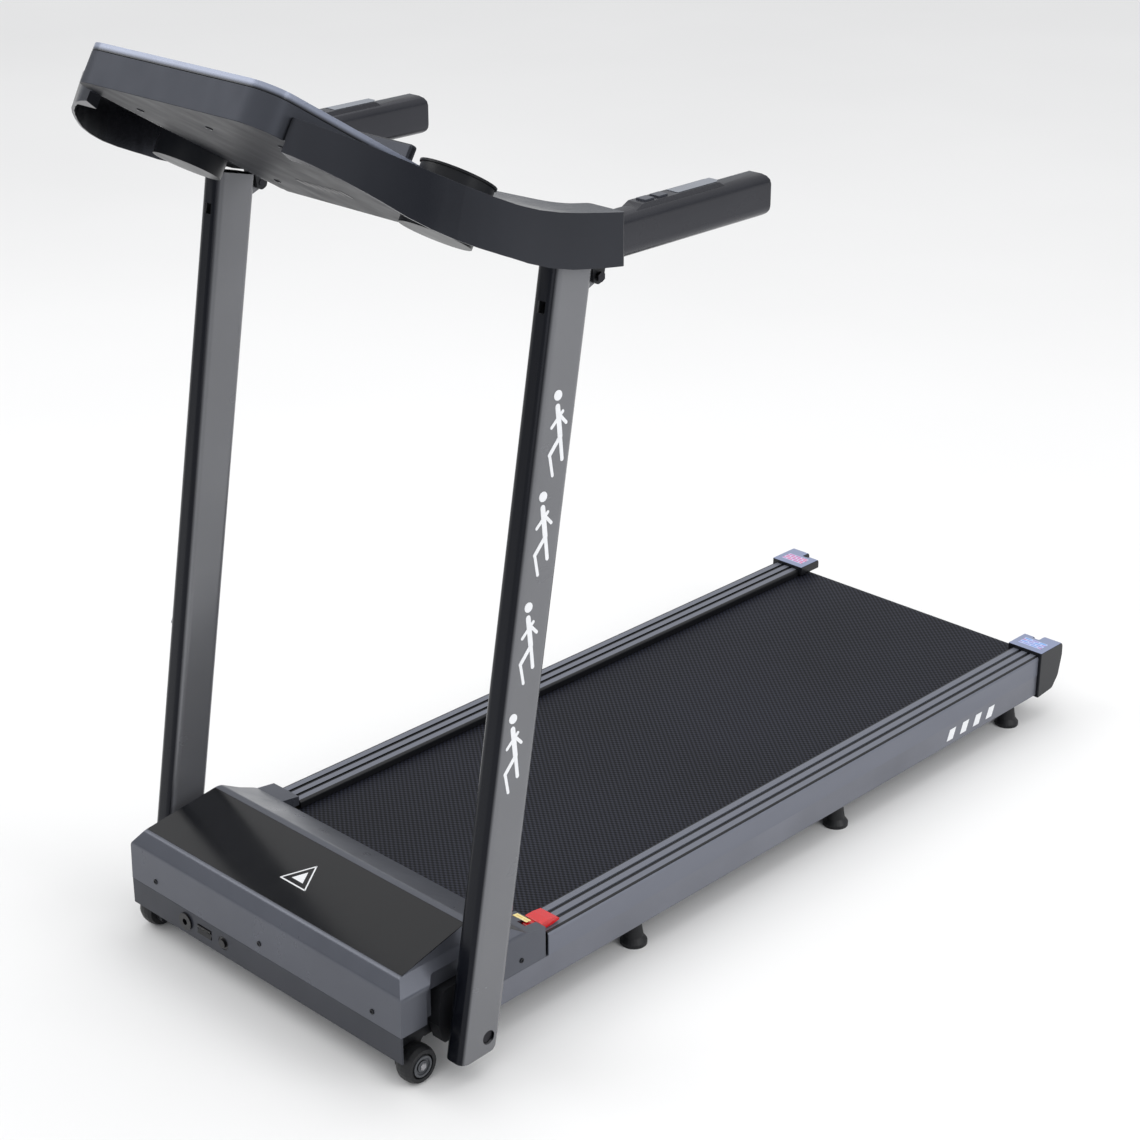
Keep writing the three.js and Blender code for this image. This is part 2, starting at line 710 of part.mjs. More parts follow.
/** A slice of the console slab between two depths below its top plane, inset by `skin`. */
function consoleSlice(skin, [high, low]) {
  const front = (drop) => CONSOLE_FRONT.y - (CONSOLE_NOSE * drop) / CONSOLE_DEPTH + skin;
  const rear = CONSOLE_REAR - skin;
  const corner = (y, drop) => [y, consoleHeight(y, drop)];
  const side = outline([
    corner(front(low), low),
    corner(rear, low),
    corner(rear, high),
    corner(front(high), high),
  ]);
  return common(prismX(side, [-CONSOLE_HALF, CONSOLE_HALF]), consoleColumn(skin));
}

/** A round tool square to the console's top at `place`, between two depths below it. */
function consoleTool(radius, place, [high, low], segments = 20) {
  const geometry = new THREE.CylinderGeometry(radius, radius, low - high, segments);
  geometry.rotateX(Math.PI / 2);
  geometry.translate(0, 0, -(low + high) / 2);
  geometry.rotateX(-CONSOLE_TILT);
  geometry.translate(place.x, place.y, consoleHeight(place.y));
  return solidOf(geometry);
}

/** A round tool along a cup holder's axis. */
function cupTool(radius, depths) {
  return consoleTool(radius, CUP, depths, 28);
}

function addConsoleBody() {
  const screenBox = { half: 100, y0: 2, y1: 92 };
  const screenTool = (inset, high, low) =>
    common(
      consoleSlice(1, [high, low]),
      box(
        [-screenBox.half + inset, screenBox.half - inset],
        [screenBox.y0 + inset, screenBox.y1 - inset],
        [900, 1300],
      ),
    );
  const keyHole = consoleTool(KEY.radius + 0.4, KEY, [-5, 8]);

  const housing = cut(
    consoleSlice(0, [TOP_COVER_DEPTH + 0.4, CONSOLE_DEPTH]),
    consoleSlice(WALL, [TOP_COVER_DEPTH - 5, CONSOLE_DEPTH - WALL]),
  );
  add("console_housing", housing, "greyPlastic");

  const cover = cut(consoleSlice(0, [0, TOP_COVER_DEPTH]), screenTool(0, -1, 3), keyHole);
  add("console_top", cover, "greyPlastic");
  add("display", screenTool(0.4, 0.3, 2.7), "screen");

  const cup = cut(
    join(cupTool(CUP.radius, [-1, CUP.depth]), cupTool(CUP.radius + CUP.flange, [-3.4, -0.6])),
    cupTool(CUP.radius - CUP.wall, [-20, CUP.depth - CUP.wall]),
  );
  addPair("cup_holder", cup, "blackPlastic");
}

function addSafetyKey() {
  const key = join(consoleTool(KEY.radius, KEY, [-4, 7.5]), consoleTool(KEY.cap, KEY, [-9, -0.6]));
  add("safety_key", key, "red");
}

/** An arm's outline seen from above, inset by `skin`: it leaves the slab's side and sweeps out and back. */
function armPlan(skin) {
  const { x, y, radius } = ARM_BEND;
  const side = CONSOLE_HALF + 0.6 + skin;
  const reach = radius - skin;
  const first = -Math.acos((side + 3 - x) / reach);
  const steps = 14;
  const points = [];
  for (let k = 0; k <= steps; k += 1) {
    const angle = first * (1 - k / steps);
    points.push([x + reach * Math.cos(angle), y + reach * Math.sin(angle)]);
  }
  return outline([
    ...points,
    [ARM_OUTER - skin, ARM_REAR - skin, 5],
    [ARM_INNER + skin, ARM_REAR - skin, 5],
    [ARM_INNER + skin, 262, 30],
    [side, CONSOLE_REAR + 4, 12],
    [side, points[0][1] + 1],
  ]);
}

/** An arm's band seen from the side: it falls with the console and levels out at the handle. */
function armSide(topSkin, bottomSkin) {
  const rear = ARM_REAR + 5;
  const top = [
    [-60, 1171],
    [-26, 1149],
    [8, 1128],
    [57, 1099],
    [114, 1070],
    [180, 1044],
    [240, 1029],
    [rear, 1015],
  ];
  const bottom = [
    [-60, 1146],
    [-25, 1117],
    [20, 1079],
    [48, 1055],
    [83, 1031],
    [124, 1009],
    [179, 984],
    [240, 967],
    [rear, 955],
  ];
  const upper = new THREE.SplineCurve(top.map(([y, z]) => new THREE.Vector2(y, z - topSkin)));
  const lower = new THREE.SplineCurve(bottom.map(([y, z]) => new THREE.Vector2(y, z - bottomSkin)));
  return [...lower.getPoints(14), ...upper.getPoints(14).reverse()];
}

/** Leans an arm's front square to the console's slope, and lets the lean fade out along the arm. */
function easedLean(solid) {
  const geometry = geometryOf(solid);
  const place = geometry.attributes.position;
  const run = ARM_UPRIGHT_FROM - ARM_FIRST.y;
  for (let i = 0; i < place.count; i += 1) {
    const along = THREE.MathUtils.clamp((ARM_UPRIGHT_FROM - place.getY(i)) / run, 0, 1);
    const middle = ARM_FIRST.z - Math.tan(CONSOLE_TILT) * (place.getY(i) - ARM_FIRST.y);
    place.setY(i, place.getY(i) + along * Math.tan(CONSOLE_TILT) * (place.getZ(i) - middle));
  }
  return solidOf(geometry);
}

function addArms() {
  const form = (skin, topSkin, bottomSkin) =>
    common(prismZ(armPlan(skin), [800, 1300]), prismX(armSide(topSkin, bottomSkin), [100, 400]));
  const hollow = common(form(WALL, WALL, 60), box([100, 400], [-12, 400], [800, 1300]));
  const cupSeat = cupTool(CUP.radius + GAP, [-40, 150]);
  const handleSeat = leanedHandle(0.3, [ARM_REAR - 30, ARM_REAR + 30]);
  const flangeSeat = cupTool(CUP.radius + CUP.flange + 0.4, [-80, -0.3]);
  const slabBottom = (y) => [y, consoleHeight(y, CONSOLE_DEPTH)];
  const underSlab = prismX(outline([[-80, 800], [245, 800], slabBottom(245), slabBottom(-80)]), [150, 165]);
  const arm = cut(easedLean(form(0, 0, 0)), easedLean(hollow), cupSeat, flangeSeat, handleSeat, underSlab);
  addPair("console_arm", largest(arm), "greyPlastic");
}

// ---------- handles ----------

/** A handle's solid, swollen by `swell`, between two Y positions. */
function leanedHandle(swell, [y0, y1]) {
  const section = roundedRectangle(HANDLE.width + 2 * swell, HANDLE.height + 2 * swell, HANDLE.corner);
  const centre = new THREE.Vector2(HANDLE.x, HANDLE.z);
  return prismY(section.map((point) => point.clone().add(centre)), [y0, y1]);
}

function addHandles() {
  const tube = leanedHandle(0, [HANDLE.y0, HANDLE.y1]);
  const endTrim = prismX(
    outline([
      [HANDLE.y0 - 1, HANDLE.z - 40],
      [HANDLE.y1, HANDLE.z - 26, 9],
      [HANDLE.y1, HANDLE.z + 26, 14],
      [HANDLE.y0 - 1, HANDLE.z + 26],
    ]),
    [200, 400],
  );
  const top = HANDLE.z + HANDLE.height / 2;
  const buttonY = [372, 394];
  const bores = buttonY.map((y) => box([283, 297], [y - 8, y + 8], [top - 5, top + 9]));
  const podSide = outline([
    [338, top - 6],
    [500, top - 6],
    [484, top + 3.5, 4],
    [356, top + 3.5, 4],
  ]);
  const pod = prismX(podSide, [279, 301]);
  const handle = cut(join(common(tube, endTrim), pod), ...bores);
  addPair("handle", handle, "blackPlastic");
  for (const [i, y] of buttonY.entries()) {
    const key = box([283.4, 296.6], [y - 7.6, y + 7.6], [top - 2.5, top + 5.5]);
    addPair(`handle_button_${i + 1}`, key, "greyPlastic");
  }
}

/** The steel bracket in each arm that turns on the console pin. */
function addConsoleBrackets() {
  const { y, z } = CONSOLE_PIVOT;
  const cheek = outline([
    [y - 7.5, z - 5, 5],
    [y, z - 10, 6],
    [y + 8, z - 6, 5],
    [y + 13, z + 17],
    [y + 13, z + 36, 3],
    [y - 44, z + 44, 3],
    [y - 44, z + 26],
    [y - 10, z + 17],
  ]);
  const blank = prismX(cheek, [276, 298]);
  const earSlot = box([282.6, 291.4], [y - 60, y + 14.5], [z - 30, z + 15]);
  const bore = barX(4.3, [270, 310], CONSOLE_PIVOT, 16);
  addPair("console_bracket", cut(blank, earSlot, bore), "blackSteel");
}

addDeckFrame();
addBaseBrackets();
addFeet();
addRunningSurface();
addSideRails();
addRearCaps();
addMotorBay();
addHood();
addFrontBand();
addWheels();
addLockLever();
addUprights();
addConsoleBody();
addSafetyKey();
addArms();
addHandles();
addConsoleBrackets();

const bounds = new THREE.Box3().setFromObject(treadmill);
treadmill.position.y = -(bounds.min.y + bounds.max.y) / 2;

export default treadmill;
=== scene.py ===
"""Looks of a folding treadmill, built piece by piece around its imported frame.

Every length is in metres. +X is the runner's left, +Y runs from the motor hood to the open end
of the deck and +Z is up.
"""

import logging
import math
from dataclasses import dataclass
from enum import Enum
from typing import Callable, Iterable

import bpy
from mathutils import Matrix, Vector


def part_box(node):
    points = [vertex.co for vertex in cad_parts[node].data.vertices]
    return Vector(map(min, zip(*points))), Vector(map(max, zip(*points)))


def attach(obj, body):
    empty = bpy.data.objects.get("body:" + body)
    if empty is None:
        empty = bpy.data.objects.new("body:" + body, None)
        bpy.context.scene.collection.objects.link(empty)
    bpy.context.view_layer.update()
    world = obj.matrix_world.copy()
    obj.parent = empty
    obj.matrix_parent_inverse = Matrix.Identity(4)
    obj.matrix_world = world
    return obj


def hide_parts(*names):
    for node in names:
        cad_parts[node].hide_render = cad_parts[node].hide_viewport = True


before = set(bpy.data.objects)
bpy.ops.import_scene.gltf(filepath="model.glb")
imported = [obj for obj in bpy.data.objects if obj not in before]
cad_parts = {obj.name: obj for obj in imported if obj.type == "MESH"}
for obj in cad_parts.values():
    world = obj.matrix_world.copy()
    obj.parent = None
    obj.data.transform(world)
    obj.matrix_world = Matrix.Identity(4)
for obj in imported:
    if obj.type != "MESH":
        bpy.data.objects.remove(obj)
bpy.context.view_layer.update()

LOG = logging.getLogger("treadmill")
Colour = tuple[float, float, float]
Point = tuple[float, float, float]
Outline = list[tuple[float, float]]
FaceTest = Callable[[Vector, Vector], bool]

SIDES: dict[str, int] = {"left": 1, "right": -1}
UP = Vector((0.0, 0.0, 1.0))
CONSOLE_TILT = math.radians(31.5)
SLAB_NORMAL: Point = (0.0, 0.5225, 0.8526)
SLAB_UNDERSIDE: Point = (0.0, -0.5225, -0.8526)
INK = 0.0003
MERGE_DISTANCE = 0.00002
FLAT_ANGLE = math.radians(0.4)
SMOOTH_ANGLE = math.radians(28)


class Slot(Enum):
    """The record's material slot names."""

    GRAPHITE_PLASTIC = "graphite_plastic"
    GRAPHITE_STEEL = "graphite_steel"
    BLACK_PLASTIC = "black_plastic"
    BLACK_STEEL = "black_steel"
    GLOSS = "gloss_black"
    SCREEN = "screen"
    ZINC = "zinc"
    RUBBER = "rubber"


# ---------- finishes ----------


class NodeBench:
    """A material's node tree, with short calls for adding and wiring nodes."""

    def __init__(self, name: str) -> None:
        """Starts a material with its surface shader.

        Args:
            name: The material's name.
        """
        self.material = bpy.data.materials.new(name)
        self.material.use_nodes = True
        self.tree = self.material.node_tree
        self.surface = self.tree.nodes["Principled BSDF"]
        self.place = self.add("ShaderNodeTexCoord").outputs["Object"]

    def add(self, kind: str, **settings: object) -> bpy.types.Node:
        """Adds a node.

        Args:
            kind: The node's type.
            **settings: Properties to set on it.

        Returns:
            The new node.
        """
        node = self.tree.nodes.new(kind)
        for key, value in settings.items():
            setattr(node, key, value)
        return node

    def wire(self, source: bpy.types.NodeSocket, target: bpy.types.NodeSocket) -> None:
        """Links an output to an input."""
        self.tree.links.new(source, target)

    def feed(self, value: object, target: bpy.types.NodeSocket) -> None:
        """Links a socket to an input, or sets the input to a number."""
        if isinstance(value, bpy.types.NodeSocket):
            self.wire(value, target)
        else:
            target.default_value = value

    def math(self, operation: str, first: object, second: object = 0.0) -> bpy.types.NodeSocket:
        """One step of arithmetic.

        Args:
            operation: The Math node's operation.
            first: A socket or a number.
            second: A socket or a number.

        Returns:
            The result's socket.
        """
        node = self.add("ShaderNodeMath", operation=operation)
        self.feed(first, node.inputs[0])
        self.feed(second, node.inputs[1])
        return node.outputs[0]

    def axes(self) -> tuple[bpy.types.NodeSocket, ...]:
        """The X, Y and Z of the place being shaded."""
        split = self.add("ShaderNodeSeparateXYZ")
        self.wire(self.place, split.inputs[0])
        return tuple(split.outputs)

    def noise(self, scale: float, detail: float = 3.0, stretch: Point = (1, 1, 1)) -> bpy.types.NodeSocket:
        """A soft noise.

        Args:
            scale: Cells per metre.
            detail: Octaves.
            stretch: How much finer the cells are along each axis.

        Returns:
            The noise's value socket.
        """
        mapping = self.add("ShaderNodeMapping")
        mapping.inputs["Scale"].default_value = stretch
        self.wire(self.place, mapping.inputs["Vector"])
        noise = self.add("ShaderNodeTexNoise")
        noise.inputs["Scale"].default_value = scale
        noise.inputs["Detail"].default_value = detail
        self.wire(mapping.outputs[0], noise.inputs["Vector"])
        return noise.outputs[0]

    def ramp(self, factor: bpy.types.NodeSocket, stops: Iterable[tuple[float, Colour]],
             stepped: bool = False) -> bpy.types.NodeSocket:
        """Colours a value.

        Args:
            factor: The value, from 0 to 1.
            stops: Positions and their colours.
            stepped: Whether the colour jumps at each stop.

        Returns:
            The colour's socket.
        """
        node = self.add("ShaderNodeValToRGB")
        band = node.color_ramp
        band.interpolation = "CONSTANT" if stepped else "LINEAR"
        stops = list(stops)
        while len(band.elements) < len(stops):
            band.elements.new(0.5)
        for element, (position, colour) in zip(band.elements, stops):
            element.position = position
            element.color = (*colour, 1.0)
        self.wire(factor, node.inputs[0])
        return node.outputs[0]

    def spread(self, factor: bpy.types.NodeSocket, low: float, high: float) -> bpy.types.NodeSocket:
        """Maps a noise's middle range to between two values."""
        node = self.add("ShaderNodeMapRange")
        for key, value in (("From Min", 0.3), ("From Max", 0.7), ("To Min", low), ("To Max", high)):
            node.inputs[key].default_value = value
        self.wire(factor, node.inputs["Value"])
        return node.outputs[0]

    def relief(self, height: bpy.types.NodeSocket, distance: float, strength: float = 1.0) -> None:
        """Raises the surface by a height pattern."""
        bump = self.add("ShaderNodeBump")
        bump.inputs["Strength"].default_value = strength
        bump.inputs["Distance"].default_value = distance
        self.wire(height, bump.inputs["Height"])
        self.wire(bump.outputs[0], self.surface.inputs["Normal"])

    def dress(self, **values: object) -> None:
        """Sets or links the surface shader's own sockets, an underscore standing for a space."""
        for key, value in values.items():
            self.feed(value, self.surface.inputs[key.replace("_", " ")])


def shade(colour: Colour, factor: float) -> Colour:
    """A colour made lighter or darker."""
    return tuple(min(1.0, part * factor) for part in colour)


@dataclass(frozen=True)
class Moulded:
    """An even plastic, rubber or painted surface with a fine grain and faint handling marks."""

    name: str
    colour: Colour
    roughness: float
    metallic: float = 0.0
    coat: float = 0.0
    grain: float = 1400.0
    relief: float = 0.00006
    drift: float = 0.14
    specular: float = 0.35

    def material(self) -> bpy.types.Material:
        """Builds the material."""
        bench = NodeBench(self.name)
        bench.dress(Metallic=self.metallic, Coat_Weight=self.coat, Coat_Roughness=0.12,
                        Specular_IOR_Level=self.specular)
        cloud = bench.noise(7.0, 4.0)
        tones = [(0.25, shade(self.colour, 1 - self.drift)), (0.75, shade(self.colour, 1 + self.drift))]
        marks = bench.noise(38.0, 6.0, (1.0, 0.35, 0.6))
        bench.dress(Base_Color=bench.ramp(cloud, tones),
                    Roughness=bench.spread(marks, self.roughness * 0.88, self.roughness * 1.12))
        bench.relief(bench.noise(self.grain, 2.0), self.relief, 0.35)
        return bench.material


@dataclass(frozen=True)
class PaintedShading:
    """A satin surface with painted light and shade: a second tone painted on the faces, or in the places,
    towards one side, standing in for the shade, and on some finishes the reflection, that falls on that side.
    """

    name: str
    colour: Colour
    # The painted tone: painted shade on the posts and the slab's underside, painted reflection on the console
    # top and the rear caps.
    second: Colour
    toward: Point
    roughness: float
    metallic: float = 0.3
    coat: float = 0.2
    start: float = 0.55
    end: float = 0.8
    specular: float = 0.2
    by_place: bool = False

    def material(self) -> bpy.types.Material:
        """Builds the material."""
        bench = NodeBench(self.name)
        bench.dress(Metallic=self.metallic, Coat_Weight=self.coat, Coat_Roughness=0.1,
                        Specular_IOR_Level=self.specular)
        facing = bench.add("ShaderNodeVectorMath", operation="DOT_PRODUCT")
        measured = bench.place if self.by_place else bench.place.node.outputs["Normal"]
        bench.wire(measured, facing.inputs[0])
        facing.inputs[1].default_value = self.toward
        # Painted light and shade: the colour moves to the second tone on the faces, or in the places, turned
        # towards one side.
        tones = bench.ramp(facing.outputs["Value"], [(self.start, self.colour), (self.end, self.second)])
        cloud = bench.ramp(bench.noise(7.0, 4.0), [(0.25, (0.88, 0.88, 0.88)), (0.75, (1.0, 1.0, 1.0))])
        blend = bench.add("ShaderNodeMix", data_type="RGBA", blend_type="MULTIPLY")
        blend.inputs["Factor"].default_value = 1.0
        bench.wire(tones, blend.inputs["A"])
        bench.wire(cloud, blend.inputs["B"])
        marks = bench.noise(38.0, 6.0, (1.0, 0.35, 0.6))
        bench.dress(Base_Color=blend.outputs["Result"],
                    Roughness=bench.spread(marks, self.roughness * 0.88, self.roughness * 1.12))
        bench.relief(bench.noise(1400.0, 2.0), 0.00006, 0.3)
        return bench.material


@dataclass(frozen=True)
class Brushed:
    """Bare or plated metal with fine turning marks round the X axis."""

    name: str
    colour: Colour
    roughness: float

    def material(self) -> bpy.types.Material:
        """Builds the material."""
        bench = NodeBench(self.name)
        lines = bench.noise(60.0, 5.0, (30.0, 1.0, 1.0))
        tones = [(0.3, shade(self.colour, 0.82)), (0.7, shade(self.colour, 1.15))]
        bench.dress(Metallic=1.0, Base_Color=bench.ramp(lines, tones),
                    Roughness=bench.spread(lines, self.roughness * 0.7, self.roughness * 1.3))
        bench.relief(lines, 0.00003, 0.3)
        return bench.material


@dataclass(frozen=True)
class WovenBelt:
    """The running belt's rubbery weave: staggered diamonds with glossy crowns, the colour darkened into the
    pits as painted shade.
    """

    name: str = "belt weave with painted pit shade"
    dark: Colour = (0.0025, 0.0028, 0.0042)
    light: Colour = (0.017, 0.019, 0.031)
    pitch_across: float = 0.0095
    pitch_along: float = 0.0075

    def material(self) -> bpy.types.Material:
        """Builds the material."""
        bench = NodeBench(self.name)
        x, y, _ = bench.axes()
        across = bench.math("SINE", bench.math("MULTIPLY", x, 2 * math.pi / self.pitch_across))
        along = bench.math("SINE", bench.math("MULTIPLY", y, 2 * math.pi / self.pitch_along))
        cells = bench.math("MULTIPLY_ADD", bench.math("MULTIPLY", across, along), 0.5)
        cells.node.inputs[2].default_value = 0.5
        pit_shade_and_wear = bench.math("MULTIPLY", cells, bench.spread(bench.noise(5.0, 4.0), 0.85, 1.1))
        # Painted shade: the colour follows the relief, darkest in the pits, and drifts at random.
        tones = bench.ramp(pit_shade_and_wear, [(0.3, self.dark), (0.8, self.light)])
        bench.dress(Base_Color=tones, Roughness=bench.spread(cells, 0.62, 0.42), Specular_IOR_Level=0.16)
        bench.relief(cells, 0.0007, 0.6)
        return bench.material


@dataclass(frozen=True)
class StripedRail:
    """A foot rail: light satin treads between dark grooves, with a fine grip along the treads."""

    name: str = "rail stripes"
    tread: Colour = (0.150, 0.160, 0.195)
    groove: Colour = (0.006, 0.0065, 0.0085)
    edges: tuple[float, ...] = (0.2140, 0.2235, 0.2295, 0.2390, 0.2450, 0.2545)
    side_from: float = 0.2582
    inner: float = 0.210
    width: float = 0.050

    def material(self) -> bpy.types.Material:
        """Builds the material."""
        bench = NodeBench(self.name)
        x, _, _ = bench.axes()
        from_inner = bench.math("SUBTRACT", bench.math("ABSOLUTE", x), self.inner)
        across = bench.math("DIVIDE", from_inner, self.width)
        stops = [(0.0, self.groove)]
        for count, edge in enumerate(self.edges):
            stops.append(((edge - self.inner) / self.width, self.groove if count % 2 else self.tread))
        stops.append(((self.side_from - self.inner) / self.width, self.tread))
        stripes = bench.ramp(across, stops, stepped=True)
        drawn = bench.noise(30.0, 5.0, (4.0, 0.2, 1.0))
        bench.dress(Base_Color=stripes, Metallic=0.35, Roughness=bench.spread(drawn, 0.34, 0.46))
        bench.relief(bench.noise(1600.0, 2.0), 0.00008, 0.4)
        return bench.material


@dataclass(frozen=True)
class PrintedLabel:
    """A plain sticker: blocks of two colours on a ground, with no lettering."""

    name: str
    ground: Colour
    ink: Colour
    second: Colour

    def material(self) -> bpy.types.Material:
        """Builds the material."""
        bench = NodeBench(self.name)
        pattern = bench.add("ShaderNodeTexBrick")
        inputs = {"Scale": 1.0, "Mortar Size": 0.0011, "Brick Width": 0.013, "Row Height": 0.0052,
                  "Color1": (*self.ink, 1), "Color2": (*self.second, 1), "Mortar": (*self.ground, 1)}
        for key, value in inputs.items():
            pattern.inputs[key].default_value = value
        bench.wire(bench.place, pattern.inputs["Vector"])
        bench.dress(Base_Color=pattern.outputs[0], Coat_Weight=0.4,
                    Roughness=bench.spread(bench.noise(80.0), 0.25, 0.4))
        return bench.material


class Finish(Enum):
    """Every finish on the treadmill."""

    GRAPHITE_STEEL = Moulded("graphite powder coat", (0.165, 0.172, 0.200), 0.36, metallic=0.5)
    # Painted shade: the posts' front faces, turned to -Y, are painted near black in place of the dark
    # reflection they show; the other faces keep the grey coat.
    POST_STEEL = PaintedShading("post powder coat with painted front shade", (0.185, 0.188, 0.200), (0.006, 0.007, 0.011),
                         (0.0, -1.0, 0.0), 0.25, metallic=0.4, coat=0.06)
    BLACK_STEEL = Moulded("black powder coat", (0.018, 0.019, 0.022), 0.42, metallic=0.4)
    GRAPHITE_PLASTIC = Moulded("graphite plastic", (0.098, 0.104, 0.124), 0.30, metallic=0.6, coat=0.05,
                               drift=0.08)
    ARM_PLASTIC = Moulded("satin arm plastic", (0.034, 0.036, 0.043), 0.24, metallic=0.85, drift=0.08)
    BLACK_PLASTIC = Moulded("black plastic", (0.012, 0.013, 0.016), 0.34, specular=0.2)
    # Painted shade: the faces turned to the slab's underside are painted darker, in place of the shade under
    # the console.
    SLAB_PLASTIC = PaintedShading("console slab plastic with painted underside shade", (0.058, 0.062, 0.074), (0.014, 0.015, 0.019),
                           SLAB_UNDERSIDE, 0.42, metallic=0.4, coat=0.0, start=0.6, end=0.9,
                           specular=0.05)
    # Painted reflection: everything above the top cover's sloping plane, its top face and rounded edge, is
    # painted light lavender; the sides below stay near black.
    SLAB_TOP = PaintedShading("console top cover with painted top reflection", (0.018, 0.020, 0.025), (0.30, 0.33, 0.42), SLAB_NORMAL,
                       0.28, start=0.6420, end=0.6424, by_place=True)
    DARK_BAND = Moulded("front band plastic", (0.034, 0.037, 0.047), 0.36, metallic=0.3)
    # Painted reflection: the caps' upward faces are painted light blue-grey; the sides stay near black.
    CAP_PLASTIC = PaintedShading("rear cap plastic with painted top reflection", (0.012, 0.013, 0.016), (0.27, 0.31, 0.46),
                          (0.0, 0.0, 1.0), 0.30)
    GRIP_PLASTIC = Moulded("grip plastic", (0.046, 0.047, 0.054), 0.26, metallic=0.7, drift=0.08,
                           specular=0.3)
    PORT_BLACK = Moulded("port black", (0.005, 0.005, 0.006), 0.3, coat=0.2)
    GLOSS = Moulded("gloss black", (0.004, 0.0045, 0.006), 0.16, coat=0.15, relief=0.00001, drift=0.05,
                    specular=0.3)
    RUBBER = Moulded("tyre rubber", (0.010, 0.0105, 0.012), 0.5, grain=700.0, relief=0.00012)
    SILVER_PLASTIC = Moulded("silver grey plastic", (0.33, 0.35, 0.39), 0.28, metallic=0.6)
    WHEEL_GREY = Moulded("wheel hub grey", (0.10, 0.105, 0.115), 0.34, metallic=0.5)
    RED = Moulded("lever red", (0.62, 0.006, 0.010), 0.26, coat=0.5)
    WHITE_INK = Moulded("white ink", (0.80, 0.81, 0.83), 0.42, drift=0.03)
    SCREEN = Moulded("screen glass", (0.004, 0.005, 0.008), 0.07, coat=1.0, relief=0.000005, drift=0.3)
    DIGITS = Moulded("screen digits", (0.75, 0.12, 0.06), 0.3, drift=0.1)
    KEYS = Moulded("membrane keys", (0.20, 0.21, 0.23), 0.4, drift=0.08)
    BOARD = Moulded("faced wood board", (0.10, 0.085, 0.065), 0.55, drift=0.25)
    MOTOR = Moulded("motor enamel", (0.010, 0.010, 0.012), 0.28, metallic=0.3, coat=0.3)
    CONTROLLER = Moulded("controller cover", (0.05, 0.055, 0.05), 0.5)
    ZINC = Brushed("zinc plate", (0.42, 0.42, 0.44), 0.34)
    BLACK_OXIDE = Brushed("black oxide steel", (0.035, 0.035, 0.04), 0.34)
    ROLLER = Brushed("turned roller steel", (0.36, 0.36, 0.38), 0.28)
    BELT = WovenBelt()
    RAIL = StripedRail()
    PINK_LABEL = PrintedLabel("pink label", (0.50, 0.53, 0.72), (0.75, 0.10, 0.20), (0.50, 0.08, 0.35))
    BLUE_LABEL = PrintedLabel("blue label", (0.42, 0.50, 0.75), (0.07, 0.30, 0.70), (0.45, 0.12, 0.30))
    YELLOW_LABEL = PrintedLabel("yellow label", (0.80, 0.68, 0.28), (0.75, 0.50, 0.10), (0.55, 0.45, 0.30))


class Paintshop:
    """Makes each finish's material once and puts it on pieces."""

    def __init__(self) -> None:
        """Starts with nothing mixed."""
        self._mixed: dict[Finish, bpy.types.Material] = {}

    def mix(self, finish: Finish) -> bpy.types.Material:
        """The finish's material, made the first time it is asked for."""
        if finish not in self._mixed:
            self._mixed[finish] = finish.value.material()
        return self._mixed[finish]

    def paint(self, piece: bpy.types.Object, finish: Finish) -> None:
        """Dresses a piece all over in one finish."""
        material = self.mix(finish)
        piece.data.materials.clear()
        piece.data.materials.append(material)

    def dress_node(self, node: str, finish: Finish) -> None:
        """Gives a CAD node's own mesh a finish."""
        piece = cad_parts[node]
        material = self.mix(finish)
        for place in piece.material_slots:
            place.material = material
        if not piece.material_slots:
            piece.data.materials.append(material)


PAINT = Paintshop()


# ---------- making and shaping ----------


def put_down() -> None:
    """Leaves edit mode and deselects everything."""
    if bpy.context.object and bpy.context.object.mode != "OBJECT":
        bpy.ops.object.mode_set(mode="OBJECT")
    bpy.ops.object.select_all(action="DESELECT")


def pick_up(piece: bpy.types.Object) -> None:
    """Selects one piece alone and makes it active."""
    put_down()
    piece.select_set(True)
    bpy.context.view_layer.objects.active = piece


def pick_faces(piece: bpy.types.Object, test: FaceTest) -> None:
    """Enters edit mode with only the faces that pass a test selected.

    Args:
        piece: The piece to edit.
        test: Called with a face's centre and normal.
    """
    pick_up(piece)
    bpy.ops.object.mode_set(mode="EDIT")
    bpy.ops.mesh.select_mode(type="FACE")
    bpy.ops.mesh.select_all(action="DESELECT")
    bpy.ops.object.mode_set(mode="OBJECT")
    for face in piece.data.polygons:
        face.select = test(face.center, face.normal)
    bpy.ops.object.mode_set(mode="EDIT")


def named(name: str) -> bpy.types.Object:
    """Gives the active object and its mesh a name, with its place settled in its mesh."""
    piece = bpy.context.object
    bpy.ops.object.mode_set(mode="OBJECT")
    bpy.ops.object.transform_apply(location=True, rotation=True, scale=True)
    piece.name = name
    piece.data.name = name
    return piece


def soften(piece: bpy.types.Object, width: float, segments: int = 3, angle: float = 35.0) -> None:
    """Rounds a piece's edges and smooths its curved faces.

    Args:
        piece: The piece.
        width: The rounding's width.
        segments: Steps across the rounding.
        angle: Edges sharper than this, in degrees, are rounded.
    """
    pick_up(piece)
    edges = piece.modifiers.new("Edges", "BEVEL")
    edges.width = width
    edges.segments = segments
    edges.limit_method = "ANGLE"
    edges.angle_limit = math.radians(angle)
    edges.miter_outer = "MITER_ARC"
    bpy.ops.object.modifier_apply(modifier=edges.name)
    bpy.ops.object.shade_smooth_by_angle(angle=SMOOTH_ANGLE)
    normals = piece.modifiers.new("Normals", "WEIGHTED_NORMAL")
    normals.keep_sharp = True
    bpy.ops.object.modifier_apply(modifier=normals.name)


